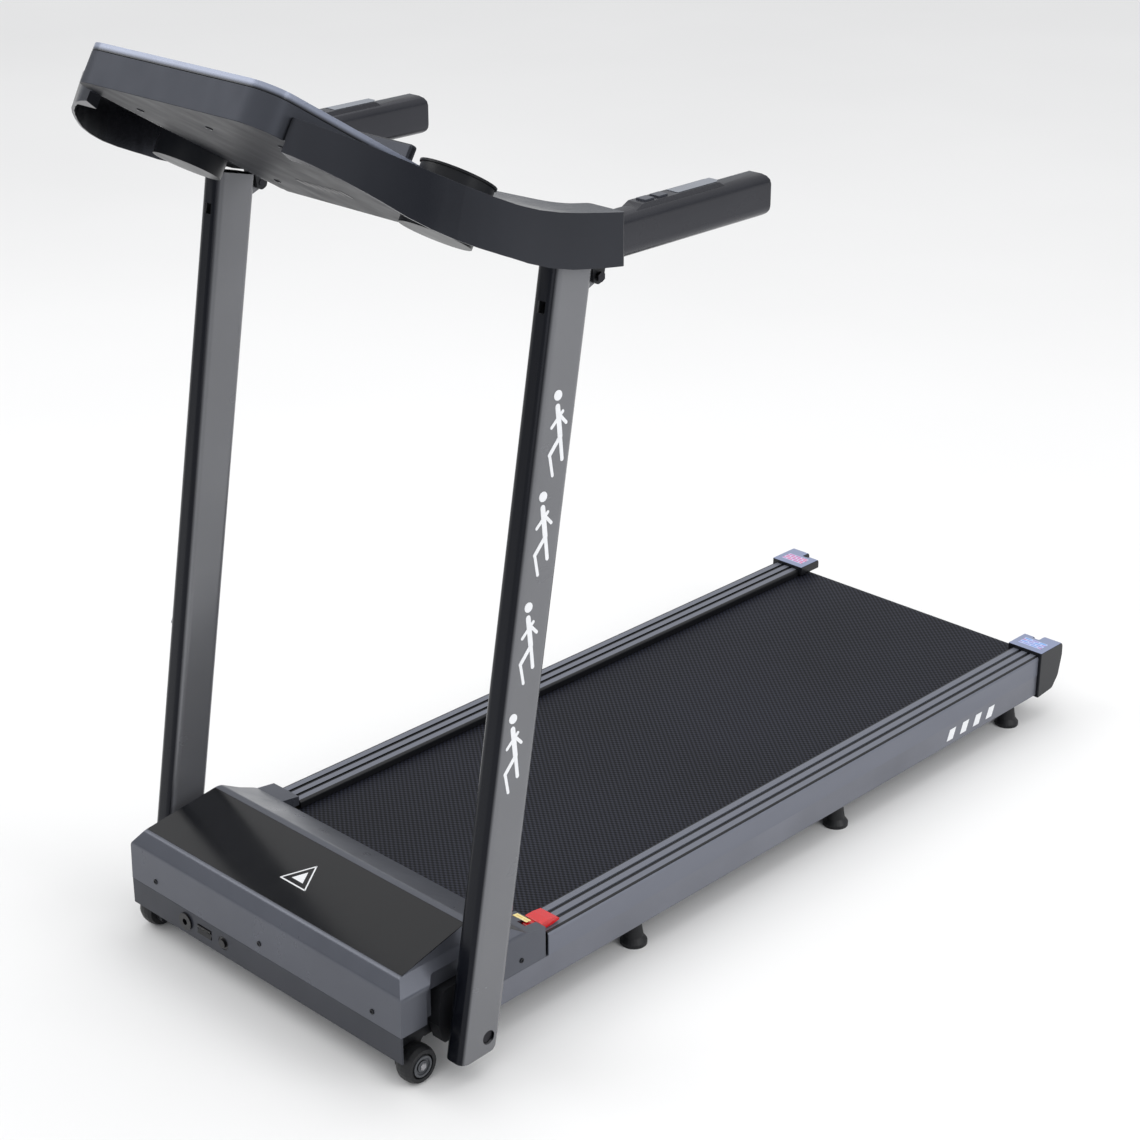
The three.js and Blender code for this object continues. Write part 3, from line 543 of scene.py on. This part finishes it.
def block(name: str, low: Point, high: Point, rounding: float, segments: int = 3) -> bpy.types.Object:
    """A block with rounded edges.

    Args:
        name: The piece's name.
        low: Its lowest corner.
        high: Its highest corner.
        rounding: The rounding's width.
        segments: Steps across the rounding.

    Returns:
        The block.
    """
    put_down()
    size = [b - a for a, b in zip(low, high)]
    middle = [(a + b) / 2 for a, b in zip(low, high)]
    bpy.ops.mesh.primitive_cube_add(size=1, location=middle, scale=size)
    piece = named(name)
    soften(piece, rounding, segments)
    return piece


def disc(name: str, centre: Point, axis: Vector, radius: float, depth: float,
         vertices: int = 40) -> bpy.types.Object:
    """A round blank standing on a centre, ready for its faces to be worked.

    Args:
        name: The piece's name.
        centre: The middle of its base.
        axis: The way it points.
        radius: Its radius.
        depth: Its length along the axis.
        vertices: Sides round it.

    Returns:
        The blank.
    """
    put_down()
    turn = axis.to_track_quat("Z", "Y").to_euler()
    place = Vector(centre) + axis.normalized() * depth / 2
    bpy.ops.mesh.primitive_cylinder_add(vertices=vertices, radius=radius, depth=depth,
                                        location=place, rotation=turn)
    return named(name)


def step_face(piece: bpy.types.Object, axis: Vector, inset: float, push: float) -> None:
    """Insets the face that looks along an axis and moves it in or out as a new step.

    Args:
        piece: The piece.
        axis: The face's direction.
        inset: Width of the rim that is left.
        push: How far the inner face moves along the axis.
    """
    unit = axis.normalized()
    square_on = 0.99
    flat = [face for face in piece.data.polygons if face.normal.dot(unit) > square_on]
    caps = [face for face in flat if len(face.vertices) > 4] or flat
    chosen = Vector(min(caps, key=lambda face: face.area).center)
    pick_faces(piece, lambda c, n: (c - chosen).length < 1e-6 and n.dot(unit) > square_on)
    bpy.ops.mesh.inset(thickness=inset, depth=0.0)
    bpy.ops.mesh.extrude_region_move(TRANSFORM_OT_translate={"value": unit * push})
    bpy.ops.object.mode_set(mode="OBJECT")


def rectangle(half_x: float, half_y: float) -> Outline:
    """A rectangle's rim, anticlockwise, round its middle."""
    return [(-half_x, -half_y), (half_x, -half_y), (half_x, half_y), (-half_x, half_y)]


def outline_plate(name: str, outline: Outline, to_world: Matrix,
                  thickness: float) -> bpy.types.Object:
    """A thin plate with a drawn outline: a flat blank whose rim is set point by point, then raised.

    Args:
        name: The piece's name.
        outline: The rim's points, anticlockwise, in the plate's own plane.
        to_world: Carries the plate's plane, with Z as its outward side, into place.
        thickness: How far it is raised.

    Returns:
        The plate.
    """
    put_down()
    bpy.ops.mesh.primitive_circle_add(vertices=len(outline), radius=1, fill_type="NGON")
    piece = named(name)
    for vertex, (x, y) in zip(piece.data.vertices, outline):
        vertex.co = (x, y, 0)
    pick_faces(piece, lambda c, n: True)
    bpy.ops.mesh.extrude_region_move(TRANSFORM_OT_translate={"value": (0, 0, thickness)})
    bpy.ops.mesh.select_all(action="SELECT")
    bpy.ops.mesh.normals_make_consistent(inside=False)
    bpy.ops.object.mode_set(mode="OBJECT")
    piece.data.transform(to_world)
    return piece


def join_pieces(name: str, pieces: list[bpy.types.Object]) -> bpy.types.Object:
    """Joins several meshes into one piece."""
    put_down()
    for piece in pieces:
        piece.select_set(True)
    bpy.context.view_layer.objects.active = pieces[0]
    bpy.ops.object.join()
    pieces[0].name = name
    pieces[0].data.name = name
    return pieces[0]


def copied(piece: bpy.types.Object, name: str, shift: Point) -> bpy.types.Object:
    """A copy with its own mesh, moved by a shift."""
    twin = bpy.data.objects.new(name, piece.data.copy())
    twin.data.name = name
    bpy.context.scene.collection.objects.link(twin)
    twin.data.transform(Matrix.Translation(shift))
    return twin


def recast(node: str, name: str) -> bpy.types.Object:
    """A merged copy of a CAD node that stands for it.

    Args:
        node: The CAD node.
        name: The new piece's name.

    Returns:
        The copy, with its flat faces made whole.
    """
    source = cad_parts[node]
    piece = bpy.data.objects.new(name, source.data.copy())
    piece.data.name = name
    bpy.context.scene.collection.objects.link(piece)
    pick_faces(piece, lambda c, n: True)
    bpy.ops.mesh.select_all(action="SELECT")
    bpy.ops.mesh.remove_doubles(threshold=MERGE_DISTANCE)
    bpy.ops.mesh.dissolve_limited(angle_limit=FLAT_ANGLE)
    bpy.ops.object.mode_set(mode="OBJECT")
    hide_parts(node)
    return piece


@dataclass(frozen=True)
class Rounding:
    """How a shell's edges are rounded: the width, the steps and the least angle in degrees."""

    width: float
    segments: int = 3
    angle: float = 32.0


def fit(piece: bpy.types.Object, body: str, finish: Finish) -> bpy.types.Object:
    """Paints a finished piece and lets it ride on its body.

    Args:
        piece: The piece, in place.
        body: The body it moves with.
        finish: Its finish.

    Returns:
        The piece.
    """
    PAINT.paint(piece, finish)
    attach(piece, body)
    LOG.info("fitted %s on %s", piece.name, body)
    return piece


def shell(node: str, name: str, rounding: Rounding, body: str,
          finish: Finish) -> bpy.types.Object:
    """Makes the rounded shell that stands for a CAD node, and fits it.

    Args:
        node: The CAD node.
        name: The shell's name.
        rounding: How its edges are rounded.
        body: The body it moves with.
        finish: Its finish.

    Returns:
        The shell.
    """
    piece = recast(node, name)
    soften(piece, rounding.width, rounding.segments, rounding.angle)
    return fit(piece, body, finish)


def lying_on(piece: bpy.types.Object, start: Point, heading: Vector, lift: float = 0.0) -> Matrix:
    """Finds where a line meets a piece and how its surface slopes there.

    Args:
        piece: The piece.
        start: Where the line starts.
        heading: The way it goes.
        lift: Height above the surface.

    Returns:
        A transform from a flat drawing to that place on the surface.
    """
    _, spot, normal, _ = piece.ray_cast(Vector(start), heading)
    turn = normal.to_track_quat("Z", "Y").to_matrix().to_4x4()
    return Matrix.Translation(spot + normal * lift) @ turn


def standing_on(place: Point, sign: int) -> Matrix:
    """A transform from a flat drawing to a side face, upright, looking out to that side."""
    turn = Matrix.Rotation(math.radians(90 * sign), 4, "Z") @ Matrix.Rotation(math.radians(90), 4, "X")
    return Matrix.Translation(place) @ turn


def screw_head(name: str, centre: Point, axis: Vector, radius: float,
               height: float = 0.0012) -> bpy.types.Object:
    """A domed screw head with a sunk socket.

    Args:
        name: The piece's name.
        centre: Where it sits on the surface.
        axis: The way it faces.
        radius: Its radius.
        height: How proud it stands.

    Returns:
        The screw head.
    """
    sunk = 0.0005
    piece = disc(name, Vector(centre) - axis.normalized() * sunk, axis, radius, height + sunk, 24)
    step_face(piece, axis, radius * 0.5, -height * 0.8)
    soften(piece, radius * 0.12, 2)
    return piece


# ---------- the room ----------


@dataclass
class Studio:
    """Pale floor, soft lights and the camera."""

    camera_place: Point = (1.9881, -2.1700, 1.6945)
    camera_tilt: float = 66.02
    camera_turn: float = 43.9
    lens: float = 74.43
    floor_half: float = 30.0
    room: float = 1.0

    def build(self) -> None:
        """Builds the floor, the lights and the camera."""
        self._floor()
        self._sky()
        self._lamp("key light", (-2.6, -2.4, 3.4), (0.0, -0.2, 0.5), 2.6, 45.0)
        self._lamp("side light", (3.6, 0.6, 2.4), (0.2, -0.1, 0.5), 2.4, 50.0)
        self._lamp("top light", (0.0, 0.8, 4.2), (0.0, 0.0, 0.0), 3.0, 35.0)
        self._lamp("front light", (0.9, -4.2, 1.3), (0.0, -0.5, 0.5), 1.8, 14.0)
        self._camera()

    def _floor(self) -> None:
        """A wide pale floor with a faint tone drift."""
        put_down()
        bpy.ops.mesh.primitive_plane_add(size=2 * self.floor_half, location=(0, 0, 0))
        floor = named("studio_floor")
        bpy.ops.object.mode_set(mode="EDIT")
        bpy.ops.mesh.subdivide(number_cuts=4)
        bpy.ops.object.mode_set(mode="OBJECT")
        bench = NodeBench("studio floor")
        tones = [(0.3, (0.80, 0.80, 0.80)), (0.7, (0.83, 0.83, 0.83))]
        bench.dress(Base_Color=bench.ramp(bench.noise(0.7), tones), Roughness=0.75)
        floor.data.materials.append(bench.material)

    def _sky(self) -> None:
        """A bright room whose walls darken towards the floor, shown in plain colours."""
        world = bpy.data.worlds.new("studio room")
        world.use_nodes = True
        tree = world.node_tree
        backdrop = tree.nodes["Background"]
        backdrop.inputs["Strength"].default_value = self.room
        height = tree.nodes.new("ShaderNodeSeparateXYZ")
        fade = tree.nodes.new("ShaderNodeValToRGB")
        tree.links.new(tree.nodes.new("ShaderNodeTexCoord").outputs["Generated"], height.inputs[0])
        tree.links.new(height.outputs["Z"], fade.inputs[0])
        tree.links.new(fade.outputs[0], backdrop.inputs["Color"])
        fade.color_ramp.elements[0].position = 0.05
        fade.color_ramp.elements[0].color = (0.34, 0.36, 0.40, 1.0)
        fade.color_ramp.elements[1].position = 0.65
        fade.color_ramp.elements[1].color = (1.0, 1.0, 1.0, 1.0)
        bpy.context.scene.world = world
        bpy.context.scene.view_settings.view_transform = "Standard"

    def _lamp(self, name: str, place: Point, target: Point, size: float, power: float) -> None:
        """A square soft light.

        Args:
            name: Its name.
            place: Where it hangs.
            target: What it points at.
            size: Its side.
            power: Its power in watts.
        """
        lamp = bpy.data.lights.new(name, "AREA")
        lamp.size = size
        lamp.energy = power
        holder = bpy.data.objects.new(name, lamp)
        holder.location = place
        holder.rotation_euler = (Vector(target) - Vector(place)).to_track_quat("-Z", "Y").to_euler()
        bpy.context.scene.collection.objects.link(holder)

    def _camera(self) -> None:
        """The camera."""
        data = bpy.data.cameras.new("camera")
        data.lens = self.lens
        data.sensor_width = 36.0
        camera = bpy.data.objects.new("camera", data)
        camera.location = self.camera_place
        camera.rotation_euler = (math.radians(self.camera_tilt), 0.0, math.radians(self.camera_turn))
        bpy.context.scene.collection.objects.link(camera)
        bpy.context.scene.camera = camera


# ---------- sub-assemblies ----------


@dataclass
class PlainNodes:
    """CAD nodes whose shape is right as it stands and which only need their finish."""

    def dress(self) -> None:
        """Gives each node its finish."""
        plan: dict[Finish, tuple[str, ...]] = {
            Finish.GRAPHITE_STEEL: ("frame_tube_left", "frame_tube_right"),
            Finish.BLACK_STEEL: (
                "cross_member_front", "cross_member_middle", "cross_member_rear", "motor_plate",
                "base_bracket_left", "base_bracket_right", "console_bracket_left", "console_bracket_right"),
            Finish.ZINC: (
                "front_axle", "rear_axle", "belt_adjuster_left", "belt_adjuster_right", "motor_flywheel"),
            Finish.BLACK_OXIDE: (
                "fold_bolt_left", "fold_bolt_right", "console_pin_left", "console_pin_right"),
            Finish.PORT_BLACK: ("cord_gland", "power_switch", "breaker_reset"),
            Finish.ROLLER: ("rear_roller", "front_roller"),
            Finish.RUBBER: (
                "foot_front_left", "foot_front_right", "foot_rear_left", "foot_rear_right", "drive_belt"),
            Finish.BOARD: ("running_board",),
            Finish.BELT: ("running_belt",),
            Finish.RAIL: ("side_rail_left", "side_rail_right"),
            Finish.MOTOR: ("motor",),
            Finish.CONTROLLER: ("motor_controller",),
            Finish.BLACK_PLASTIC: ("belly_pan",),
            Finish.RED: ("lock_lever", "safety_key"),
            Finish.SCREEN: ("display",),
            Finish.GRAPHITE_PLASTIC: (
                "handle_button_1_left", "handle_button_2_left", "handle_button_1_right",
                "handle_button_2_right"),
        }
        for finish, nodes in plan.items():
            for node in nodes:
                PAINT.dress_node(node, finish)


@dataclass
class Hood:
    """The motor hood, its gloss panel, its screws and the front band below it."""

    screw_x: tuple[float, ...] = (-0.209, 0.0, 0.209)
    screw_z: float = 0.092
    side_screw: tuple[float, float] = (-0.459, 0.092)
    emblem: tuple[float, float] = (0.005, -0.584)
    emblem_side: float = 0.046
    emblem_lift: float = 0.00005
    label: tuple[float, float] = (0.2255, -0.424)
    label_half: tuple[float, float] = (0.012, 0.0045)
    groove_y: tuple[float, float] = (-0.4345, -0.4315)
    groove_z: tuple[float, float] = (0.0800, 0.1220)

    def build(self) -> None:
        """Builds the hood's pieces."""
        shell("hood", "hood_shell", Rounding(0.0022), "base",
              Finish.GRAPHITE_PLASTIC)
        shell("hood_panel", "hood_gloss_panel", Rounding(0.0012, 2), "base",
              Finish.GLOSS)
        shell("front_band", "front_band_shell", Rounding(0.0018), "base",
              Finish.DARK_BAND)
        self._screws()
        self._mark()
        self._label()
        for side, sign in SIDES.items():
            self._side_groove(side, sign)

    def _side_groove(self, side: str, sign: int) -> None:
        """The dark upright strip where the hood's side meets its ear."""
        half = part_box("hood")[1][0]
        near, far = sorted((sign * (half - 0.0012), sign * (half - 0.0001)))
        strip = block(f"hood_side_groove_{side}", (near, self.groove_y[0], self.groove_z[0]),
                      (far, self.groove_y[1], self.groove_z[1]), 0.0004, 2)
        fit(strip, "base", Finish.PORT_BLACK)

    def _screws(self) -> None:
        """Screws across the front and one low on each side."""
        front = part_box("hood")[0][1]
        heads = [screw_head(f"hood_screw_{count}", (x, front + 0.0004, self.screw_z),
                            Vector((0, -1, 0)), 0.0036)
                 for count, x in enumerate(self.screw_x)]
        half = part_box("hood")[1][0]
        for side, sign in SIDES.items():
            heads.append(screw_head(f"hood_side_screw_{side}", (sign * half, *self.side_screw),
                                    Vector((sign, 0, 0)), 0.0034))
        fit(join_pieces("hood_screws", heads), "base", Finish.BLACK_PLASTIC)

    def _mark(self) -> None:
        """A plain triangle frame on the gloss panel, laid on its slope."""
        panel = bpy.data.objects["hood_gloss_panel"]
        place = lying_on(panel, (*self.emblem, 0.5), -UP, self.emblem_lift)
        half = self.emblem_side / 2
        rise = half * math.sqrt(3) / 2
        bars = []
        corners = [(-half, -rise), (half, -rise), (0.0, rise)]
        for count in range(3):
            ax, ay = corners[count]
            bx, by = corners[(count + 1) % 3]
            run = Vector((bx - ax, by - ay)).normalized() * 0.0006
            side = Vector((-run.y, run.x)) * 1.6
            rim = [(ax - run.x - side.x, ay - run.y - side.y), (bx + run.x - side.x, by + run.y - side.y),
                   (bx + run.x + side.x, by + run.y + side.y), (ax - run.x + side.x, ay - run.y + side.y)]
            bars.append(outline_plate(f"emblem_{count}", rim, place, INK))
        inner = [(-half * 0.45, -rise * 0.62), (half * 0.45, -rise * 0.62), (0.0, rise * 0.30)]
        bars.append(outline_plate("emblem_core", inner, place, INK))
        fit(join_pieces("hood_emblem", bars), "base", Finish.WHITE_INK)

    def _label(self) -> None:
        """A small yellow label on the hood's rear corner, by the latch lever."""
        place = lying_on(bpy.data.objects["hood_shell"], (*self.label, 0.5), -UP)
        label = outline_plate("latch_label", rectangle(*self.label_half), place, INK)
        fit(label, "base", Finish.YELLOW_LABEL)


@dataclass
class Deck:
    """The deck's end caps, its middle feet, cushions and side accents."""

    middle_foot_y: float = 0.1967
    cushion_x: float = 0.2335
    cushion_radius: float = 0.0075
    cushion_y: tuple[float, ...] = (-0.28, 0.10, 0.48)
    cap_label_half: tuple[float, float] = (0.020, 0.011)
    cap_label_from_front: float = 0.022
    accent_z: float = 0.061
    accent_y: tuple[float, ...] = (0.437, 0.470, 0.503, 0.536)

    def build(self) -> None:
        """Builds the deck's pieces."""
        for side, sign in SIDES.items():
            shell(f"rear_cap_{side}", f"rear_cap_shell_{side}", Rounding(0.002), "base",
                  Finish.CAP_PLASTIC)
            self._cap_label(side, sign)
            self._foot(side)
        self._cushions()
        self._accents()

    def _cap_label(self, side: str, sign: int) -> None:
        """A plain label on top of a rear cap."""
        low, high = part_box(f"rear_cap_{side}")
        cap = bpy.data.objects[f"rear_cap_shell_{side}"]
        middle = (low[0] + high[0]) / 2
        place = lying_on(cap, (middle, low[1] + self.cap_label_from_front, 0.5), -UP)
        label = outline_plate(f"cap_label_{side}", rectangle(*self.cap_label_half), place, INK)
        fit(label, "base", Finish.BLUE_LABEL if sign > 0 else Finish.PINK_LABEL)

    def _foot(self, side: str) -> None:
        """The middle pair of rubber feet, like the others."""
        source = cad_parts[f"foot_front_{side}"]
        low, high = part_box(f"foot_front_{side}")
        foot = copied(source, f"foot_middle_{side}", (0, self.middle_foot_y - (low[1] + high[1]) / 2, 0))
        pick_faces(foot, lambda c, n: True)
        bpy.ops.mesh.select_all(action="SELECT")
        bpy.ops.mesh.remove_doubles(threshold=MERGE_DISTANCE)
        bpy.ops.object.mode_set(mode="OBJECT")
        fit(foot, "base", Finish.RUBBER)

    def _cushions(self) -> None:
        """Rubber blocks between the running board and the frame."""
        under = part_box("running_board")[0][2]
        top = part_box("frame_tube_left")[1][2]
        for side, sign in SIDES.items():
            for count, y in enumerate(self.cushion_y):
                pad = disc(f"deck_cushion_{side}_{count}", (sign * self.cushion_x, y, top), UP,
                           self.cushion_radius, under - top)
                soften(pad, 0.001, 2)
                fit(pad, "base", Finish.RUBBER)

    def _accents(self) -> None:
        """Slanted white bars along each frame tube's outer side near the rear."""
        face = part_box("frame_tube_left")[1][0]
        for side, sign in SIDES.items():
            bars = []
            for count, y in enumerate(self.accent_y):
                place = standing_on((sign * face, y, self.accent_z), sign)
                rim = [(-0.011, -0.0085), (0.004, -0.0085), (0.011, 0.0085), (-0.004, 0.0085)]
                bars.append(outline_plate(f"bar_{side}_{count}", rim, place, INK))
            fit(join_pieces(f"side_accent_{side}", bars), "base", Finish.WHITE_INK)


@dataclass
class Wheels:
    """The transport wheels' tyres and hub bolts."""

    ring_radius: float = 0.0140
    ring_sunk: float = 0.004
    bolt_radius: float = 0.0050
    bolt_sunk: float = 0.003

    def build(self) -> None:
        """Dresses the tyres and adds a hub ring and a bolt on each outer side."""
        for side, sign in SIDES.items():
            low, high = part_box(f"transport_wheel_{side}")
            PAINT.dress_node(f"transport_wheel_{side}", Finish.RUBBER)
            outer = high[0] if sign > 0 else low[0]
            hub = ((low[1] + high[1]) / 2, (low[2] + high[2]) / 2)
            out = Vector((sign, 0, 0))
            ring = disc(f"wheel_ring_{side}", (outer - sign * self.ring_sunk, *hub), out,
                        self.ring_radius, 0.0046)
            step_face(ring, out, 0.0030, -0.0022)
            step_face(ring, out, 0.0036, 0.0016)
            soften(ring, 0.0004, 2)
            fit(ring, f"wheel_{side}", Finish.WHEEL_GREY)
            bolt = disc(f"wheel_bolt_{side}", (outer - sign * self.bolt_sunk, *hub), out,
                        self.bolt_radius, 0.0042, 6)
            step_face(bolt, out, 0.0014, 0.0006)
            soften(bolt, 0.0003, 2)
            fit(bolt, f"wheel_{side}", Finish.ZINC)


@dataclass
class Uprights:
    """The two folding posts with their runner figures."""

    figure_at: tuple[tuple[float, float], ...] = (
        (-0.439, 0.788), (-0.463, 0.676), (-0.487, 0.550), (-0.513, 0.420))
    lean: float = 11.4
    figure_scale: float = 1.3
    thinnest_ink: float = 0.0002
    ink_step: float = 0.00005

    def build(self) -> None:
        """Builds each post and what is printed on it."""
        for side, sign in SIDES.items():
            shell(f"upright_{side}", f"upright_post_{side}", Rounding(0.0012, 2, 40), "uprights",
                  Finish.POST_STEEL)
            self._figures(side, sign)

    def _figures(self, side: str, sign: int) -> None:
        """A row of abstract running figures, each a head, a body and three limbs."""
        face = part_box(f"upright_{side}")[1 if sign > 0 else 0][0]
        strokes = [((-0.004, 0.020), (0.004, -0.006), 0.0028), ((0.003, 0.016), (-0.008, 0.002), 0.0016),
                   ((-0.002, 0.014), (0.009, 0.006), 0.0016), ((0.004, -0.006), (-0.006, -0.022), 0.0020),
                   ((-0.006, -0.022), (0.001, -0.040), 0.0016), ((0.004, -0.006), (0.010, -0.026), 0.0020),
                   ((-0.006, 0.030), (-0.0055, 0.0301), 0.0046)]
        for count, (y, z) in enumerate(self.figure_at):
            tilt = Matrix.Rotation(math.radians(-self.lean * sign), 4, "Z")
            place = standing_on((face, y, z), sign) @ tilt @ Matrix.Scale(self.figure_scale, 4)
            plates = [outline_plate(f"stroke_{n}", self._stroke(start, end, width), place,
                                    self.thinnest_ink + self.ink_step * n)
                      for n, (start, end, width) in enumerate(strokes)]
            figure = join_pieces(f"runner_figure_{side}_{count}", plates)
            fit(figure, "uprights", Finish.WHITE_INK)

    def _stroke(self, start: tuple[float, float], end: tuple[float, float], width: float) -> Outline:
        """The outline of a round-ended stroke.

        Args:
            start: One end.
            end: The other end.
            width: Half its width.

        Returns:
            Its rim, anticlockwise.
        """
        heading = math.atan2(end[1] - start[1], end[0] - start[0])
        rim = []
        for middle, base in ((end, heading - math.pi / 2), (start, heading + math.pi / 2)):
            for step in range(7):
                angle = base + math.pi * step / 6
                rim.append((middle[0] + width * math.cos(angle), middle[1] + width * math.sin(angle)))
        return rim


@dataclass
class Console:
    """The console slab, arms, cups and handles, and what is set on them."""

    tilt: float = CONSOLE_TILT
    front_y: float = -0.6948
    front_z: float = 1.1861
    screw_at: tuple[tuple[float, float], ...] = (
        (-0.12, -0.655), (0.12, -0.655), (-0.12, -0.47), (0.12, -0.47), (0.0, -0.655))
    sounder_y: float = -0.50
    sounder_slots: int = 7
    slot_pitch: float = 0.012
    pulse_y: float = -0.205
    keypad_y: float = -0.523
    keypad_half: tuple[float, float] = (0.095, 0.026)
    key_pitch: tuple[float, float] = (0.030, 0.022)
    digit_pitch: float = 0.036
    ledge_y: float = -0.441
    ledge_half: tuple[float, float] = (0.068, 0.006)
    ledge_height: float = 0.034

    def on_slab(self, x: float, y: float, lift: float = 0.0) -> Matrix:
        """A transform from a flat drawing to the slab's top.

        Args:
            x: Place across.
            y: Place along the frame's Y.
            lift: Height above the surface.

        Returns:
            The transform; the drawing's Y runs down the slope to the runner.
        """
        z = self.front_z - (y - self.front_y) * math.tan(self.tilt)
        turn = Matrix.Rotation(-self.tilt, 4, "X")
        return Matrix.Translation((x, y, z)) @ turn @ Matrix.Translation((0, 0, lift))

    def build(self) -> None:
        """Builds the console's pieces."""
        shell("console_housing", "console_shell", Rounding(0.0025), "console",
              Finish.SLAB_PLASTIC)
        shell("console_top", "console_deck", Rounding(0.0042), "console",
              Finish.SLAB_TOP)
        for side in SIDES:
            shell(f"console_arm_{side}", f"arm_shell_{side}", Rounding(0.006, 4, 38), "console",
                  Finish.ARM_PLASTIC)
            shell(f"cup_holder_{side}", f"cup_liner_{side}", Rounding(0.0005, 2, 40), "console",
                  Finish.BLACK_PLASTIC)
            self._handle(side)
        self._keypad()
        self._readout()
        self._ledge()
        self._underside()

    def _underside(self) -> None:
        """Screws and a row of sounder slots under the slab."""
        housing = bpy.data.objects["console_shell"]
        heads = []
        for count, (x, y) in enumerate(self.screw_at):
            _, spot, normal, _ = housing.ray_cast(Vector((x, y, 0.5)), UP)
            heads.append(screw_head(f"slab_screw_{count}", tuple(spot), normal, 0.0045))
        fit(join_pieces("slab_screws", heads), "console", Finish.BLACK_OXIDE)
        slots = []
        rim = [(-0.0018, -0.012), (0.0018, -0.012), (0.0026, 0.0), (0.0018, 0.012), (-0.0018, 0.012),
               (-0.0026, 0.0)]
        for count in range(self.sounder_slots):
            x = self.slot_pitch * (count - (self.sounder_slots - 1) / 2)
            place = lying_on(housing, (x, self.sounder_y, 0.5), UP)
            slots.append(outline_plate(f"slot_{count}", rim, place, 0.0004))
        fit(join_pieces("sounder_slots", slots), "console", Finish.PORT_BLACK)

    def _handle(self, side: str) -> None:
        """A handle with its pulse plate."""
        grip = shell(f"handle_{side}", f"handle_grip_{side}", Rounding(0.0025, 3, 40), "console",
                     Finish.GRIP_PLASTIC)
        low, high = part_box(f"handle_{side}")
        middle = (low[0] + high[0]) / 2
        rim = [(-0.0085, -0.036), (0.0085, -0.036), (0.0085, 0.030), (0.004, 0.036), (-0.0085, 0.036)]
        _, spot, _, _ = grip.ray_cast(Vector((middle, self.pulse_y, 1.3)), -UP)
        plate = outline_plate(f"pulse_plate_{side}", rim, Matrix.Translation(spot), 0.0009)
        soften(plate, 0.0004, 2)
        fit(plate, "console", Finish.SILVER_PLASTIC)

    def _keypad(self) -> None:
        """A membrane panel of round keys between the screen and the safety key."""
        pad = outline_plate("keypad_panel", rectangle(*self.keypad_half),
                            self.on_slab(0, self.keypad_y, 0.00002), 0.0006)
        soften(pad, 0.0003, 2)
        fit(pad, "console", Finish.GLOSS)
        keys = []
        for row in range(2):
            for column in range(6):
                at = self.on_slab(self.key_pitch[0] * (column - 2.5),
                                  self.keypad_y + self.key_pitch[1] * (row - 0.5), 0.0004)
                axis = at.to_3x3() @ UP
                key = disc(f"key_{row}_{column}", tuple(at.translation), axis, 0.0085, 0.0012, 32)
                step_face(key, axis, 0.0014, -0.0004)
                soften(key, 0.0002, 2)
                keys.append(key)
        fit(join_pieces("keypad_keys", keys), "console", Finish.KEYS)

    def _readout(self) -> None:
        """Seven-bar figures behind the screen's glass."""
        low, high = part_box("display")
        middle_y = (low[1] + high[1]) / 2
        bars = []
        for place in range(4):
            x = (low[0] + high[0]) / 2 + self.digit_pitch * (place - 1.5)
            for level in range(3):
                at = self.on_slab(x, middle_y - 0.0001, 0.0003)
                offset = -0.013 + 0.013 * level
                rim = [(-0.007, offset - 0.0011), (0.007, offset - 0.0011), (0.0082, offset),
                       (0.007, offset + 0.0011), (-0.007, offset + 0.0011), (-0.0082, offset)]
                bars.append(outline_plate(f"bar_{place}_{level}", rim, at, 0.0002))
            for reach in (-1, 1):
                at = self.on_slab(x + reach * 0.0092, middle_y, 0.0003)
                rim = [(-0.0011, -0.011), (0.0011, -0.011), (0.0011, -0.002), (-0.0011, -0.002)]
                bars.append(outline_plate(f"post_{place}_{reach}_a", rim, at, 0.0002))
                rim = [(-0.0011, 0.002), (0.0011, 0.002), (0.0011, 0.011), (-0.0011, 0.011)]
                bars.append(outline_plate(f"post_{place}_{reach}_b", rim, at, 0.0002))
        fit(join_pieces("screen_figures", bars), "console", Finish.DIGITS)

    def _ledge(self) -> None:
        """The raised ledge at the runner's edge that holds a tablet."""
        half_x, half_y = self.ledge_half
        ledge = block("tablet_ledge", (-half_x, -half_y, -0.002), (half_x, half_y, self.ledge_height), 0.0035)
        ledge.data.transform(self.on_slab(0, self.ledge_y))
        fit(ledge, "console", Finish.ARM_PLASTIC)


def main() -> None:
    """Builds the room and every sub-assembly in order."""
    logging.basicConfig(level=logging.INFO, format="%(message)s")
    Studio().build()
    PlainNodes().dress()
    Hood().build()
    Deck().build()
    Wheels().build()
    Uprights().build()
    Console().build()


if __name__ == "__main__":
    main()
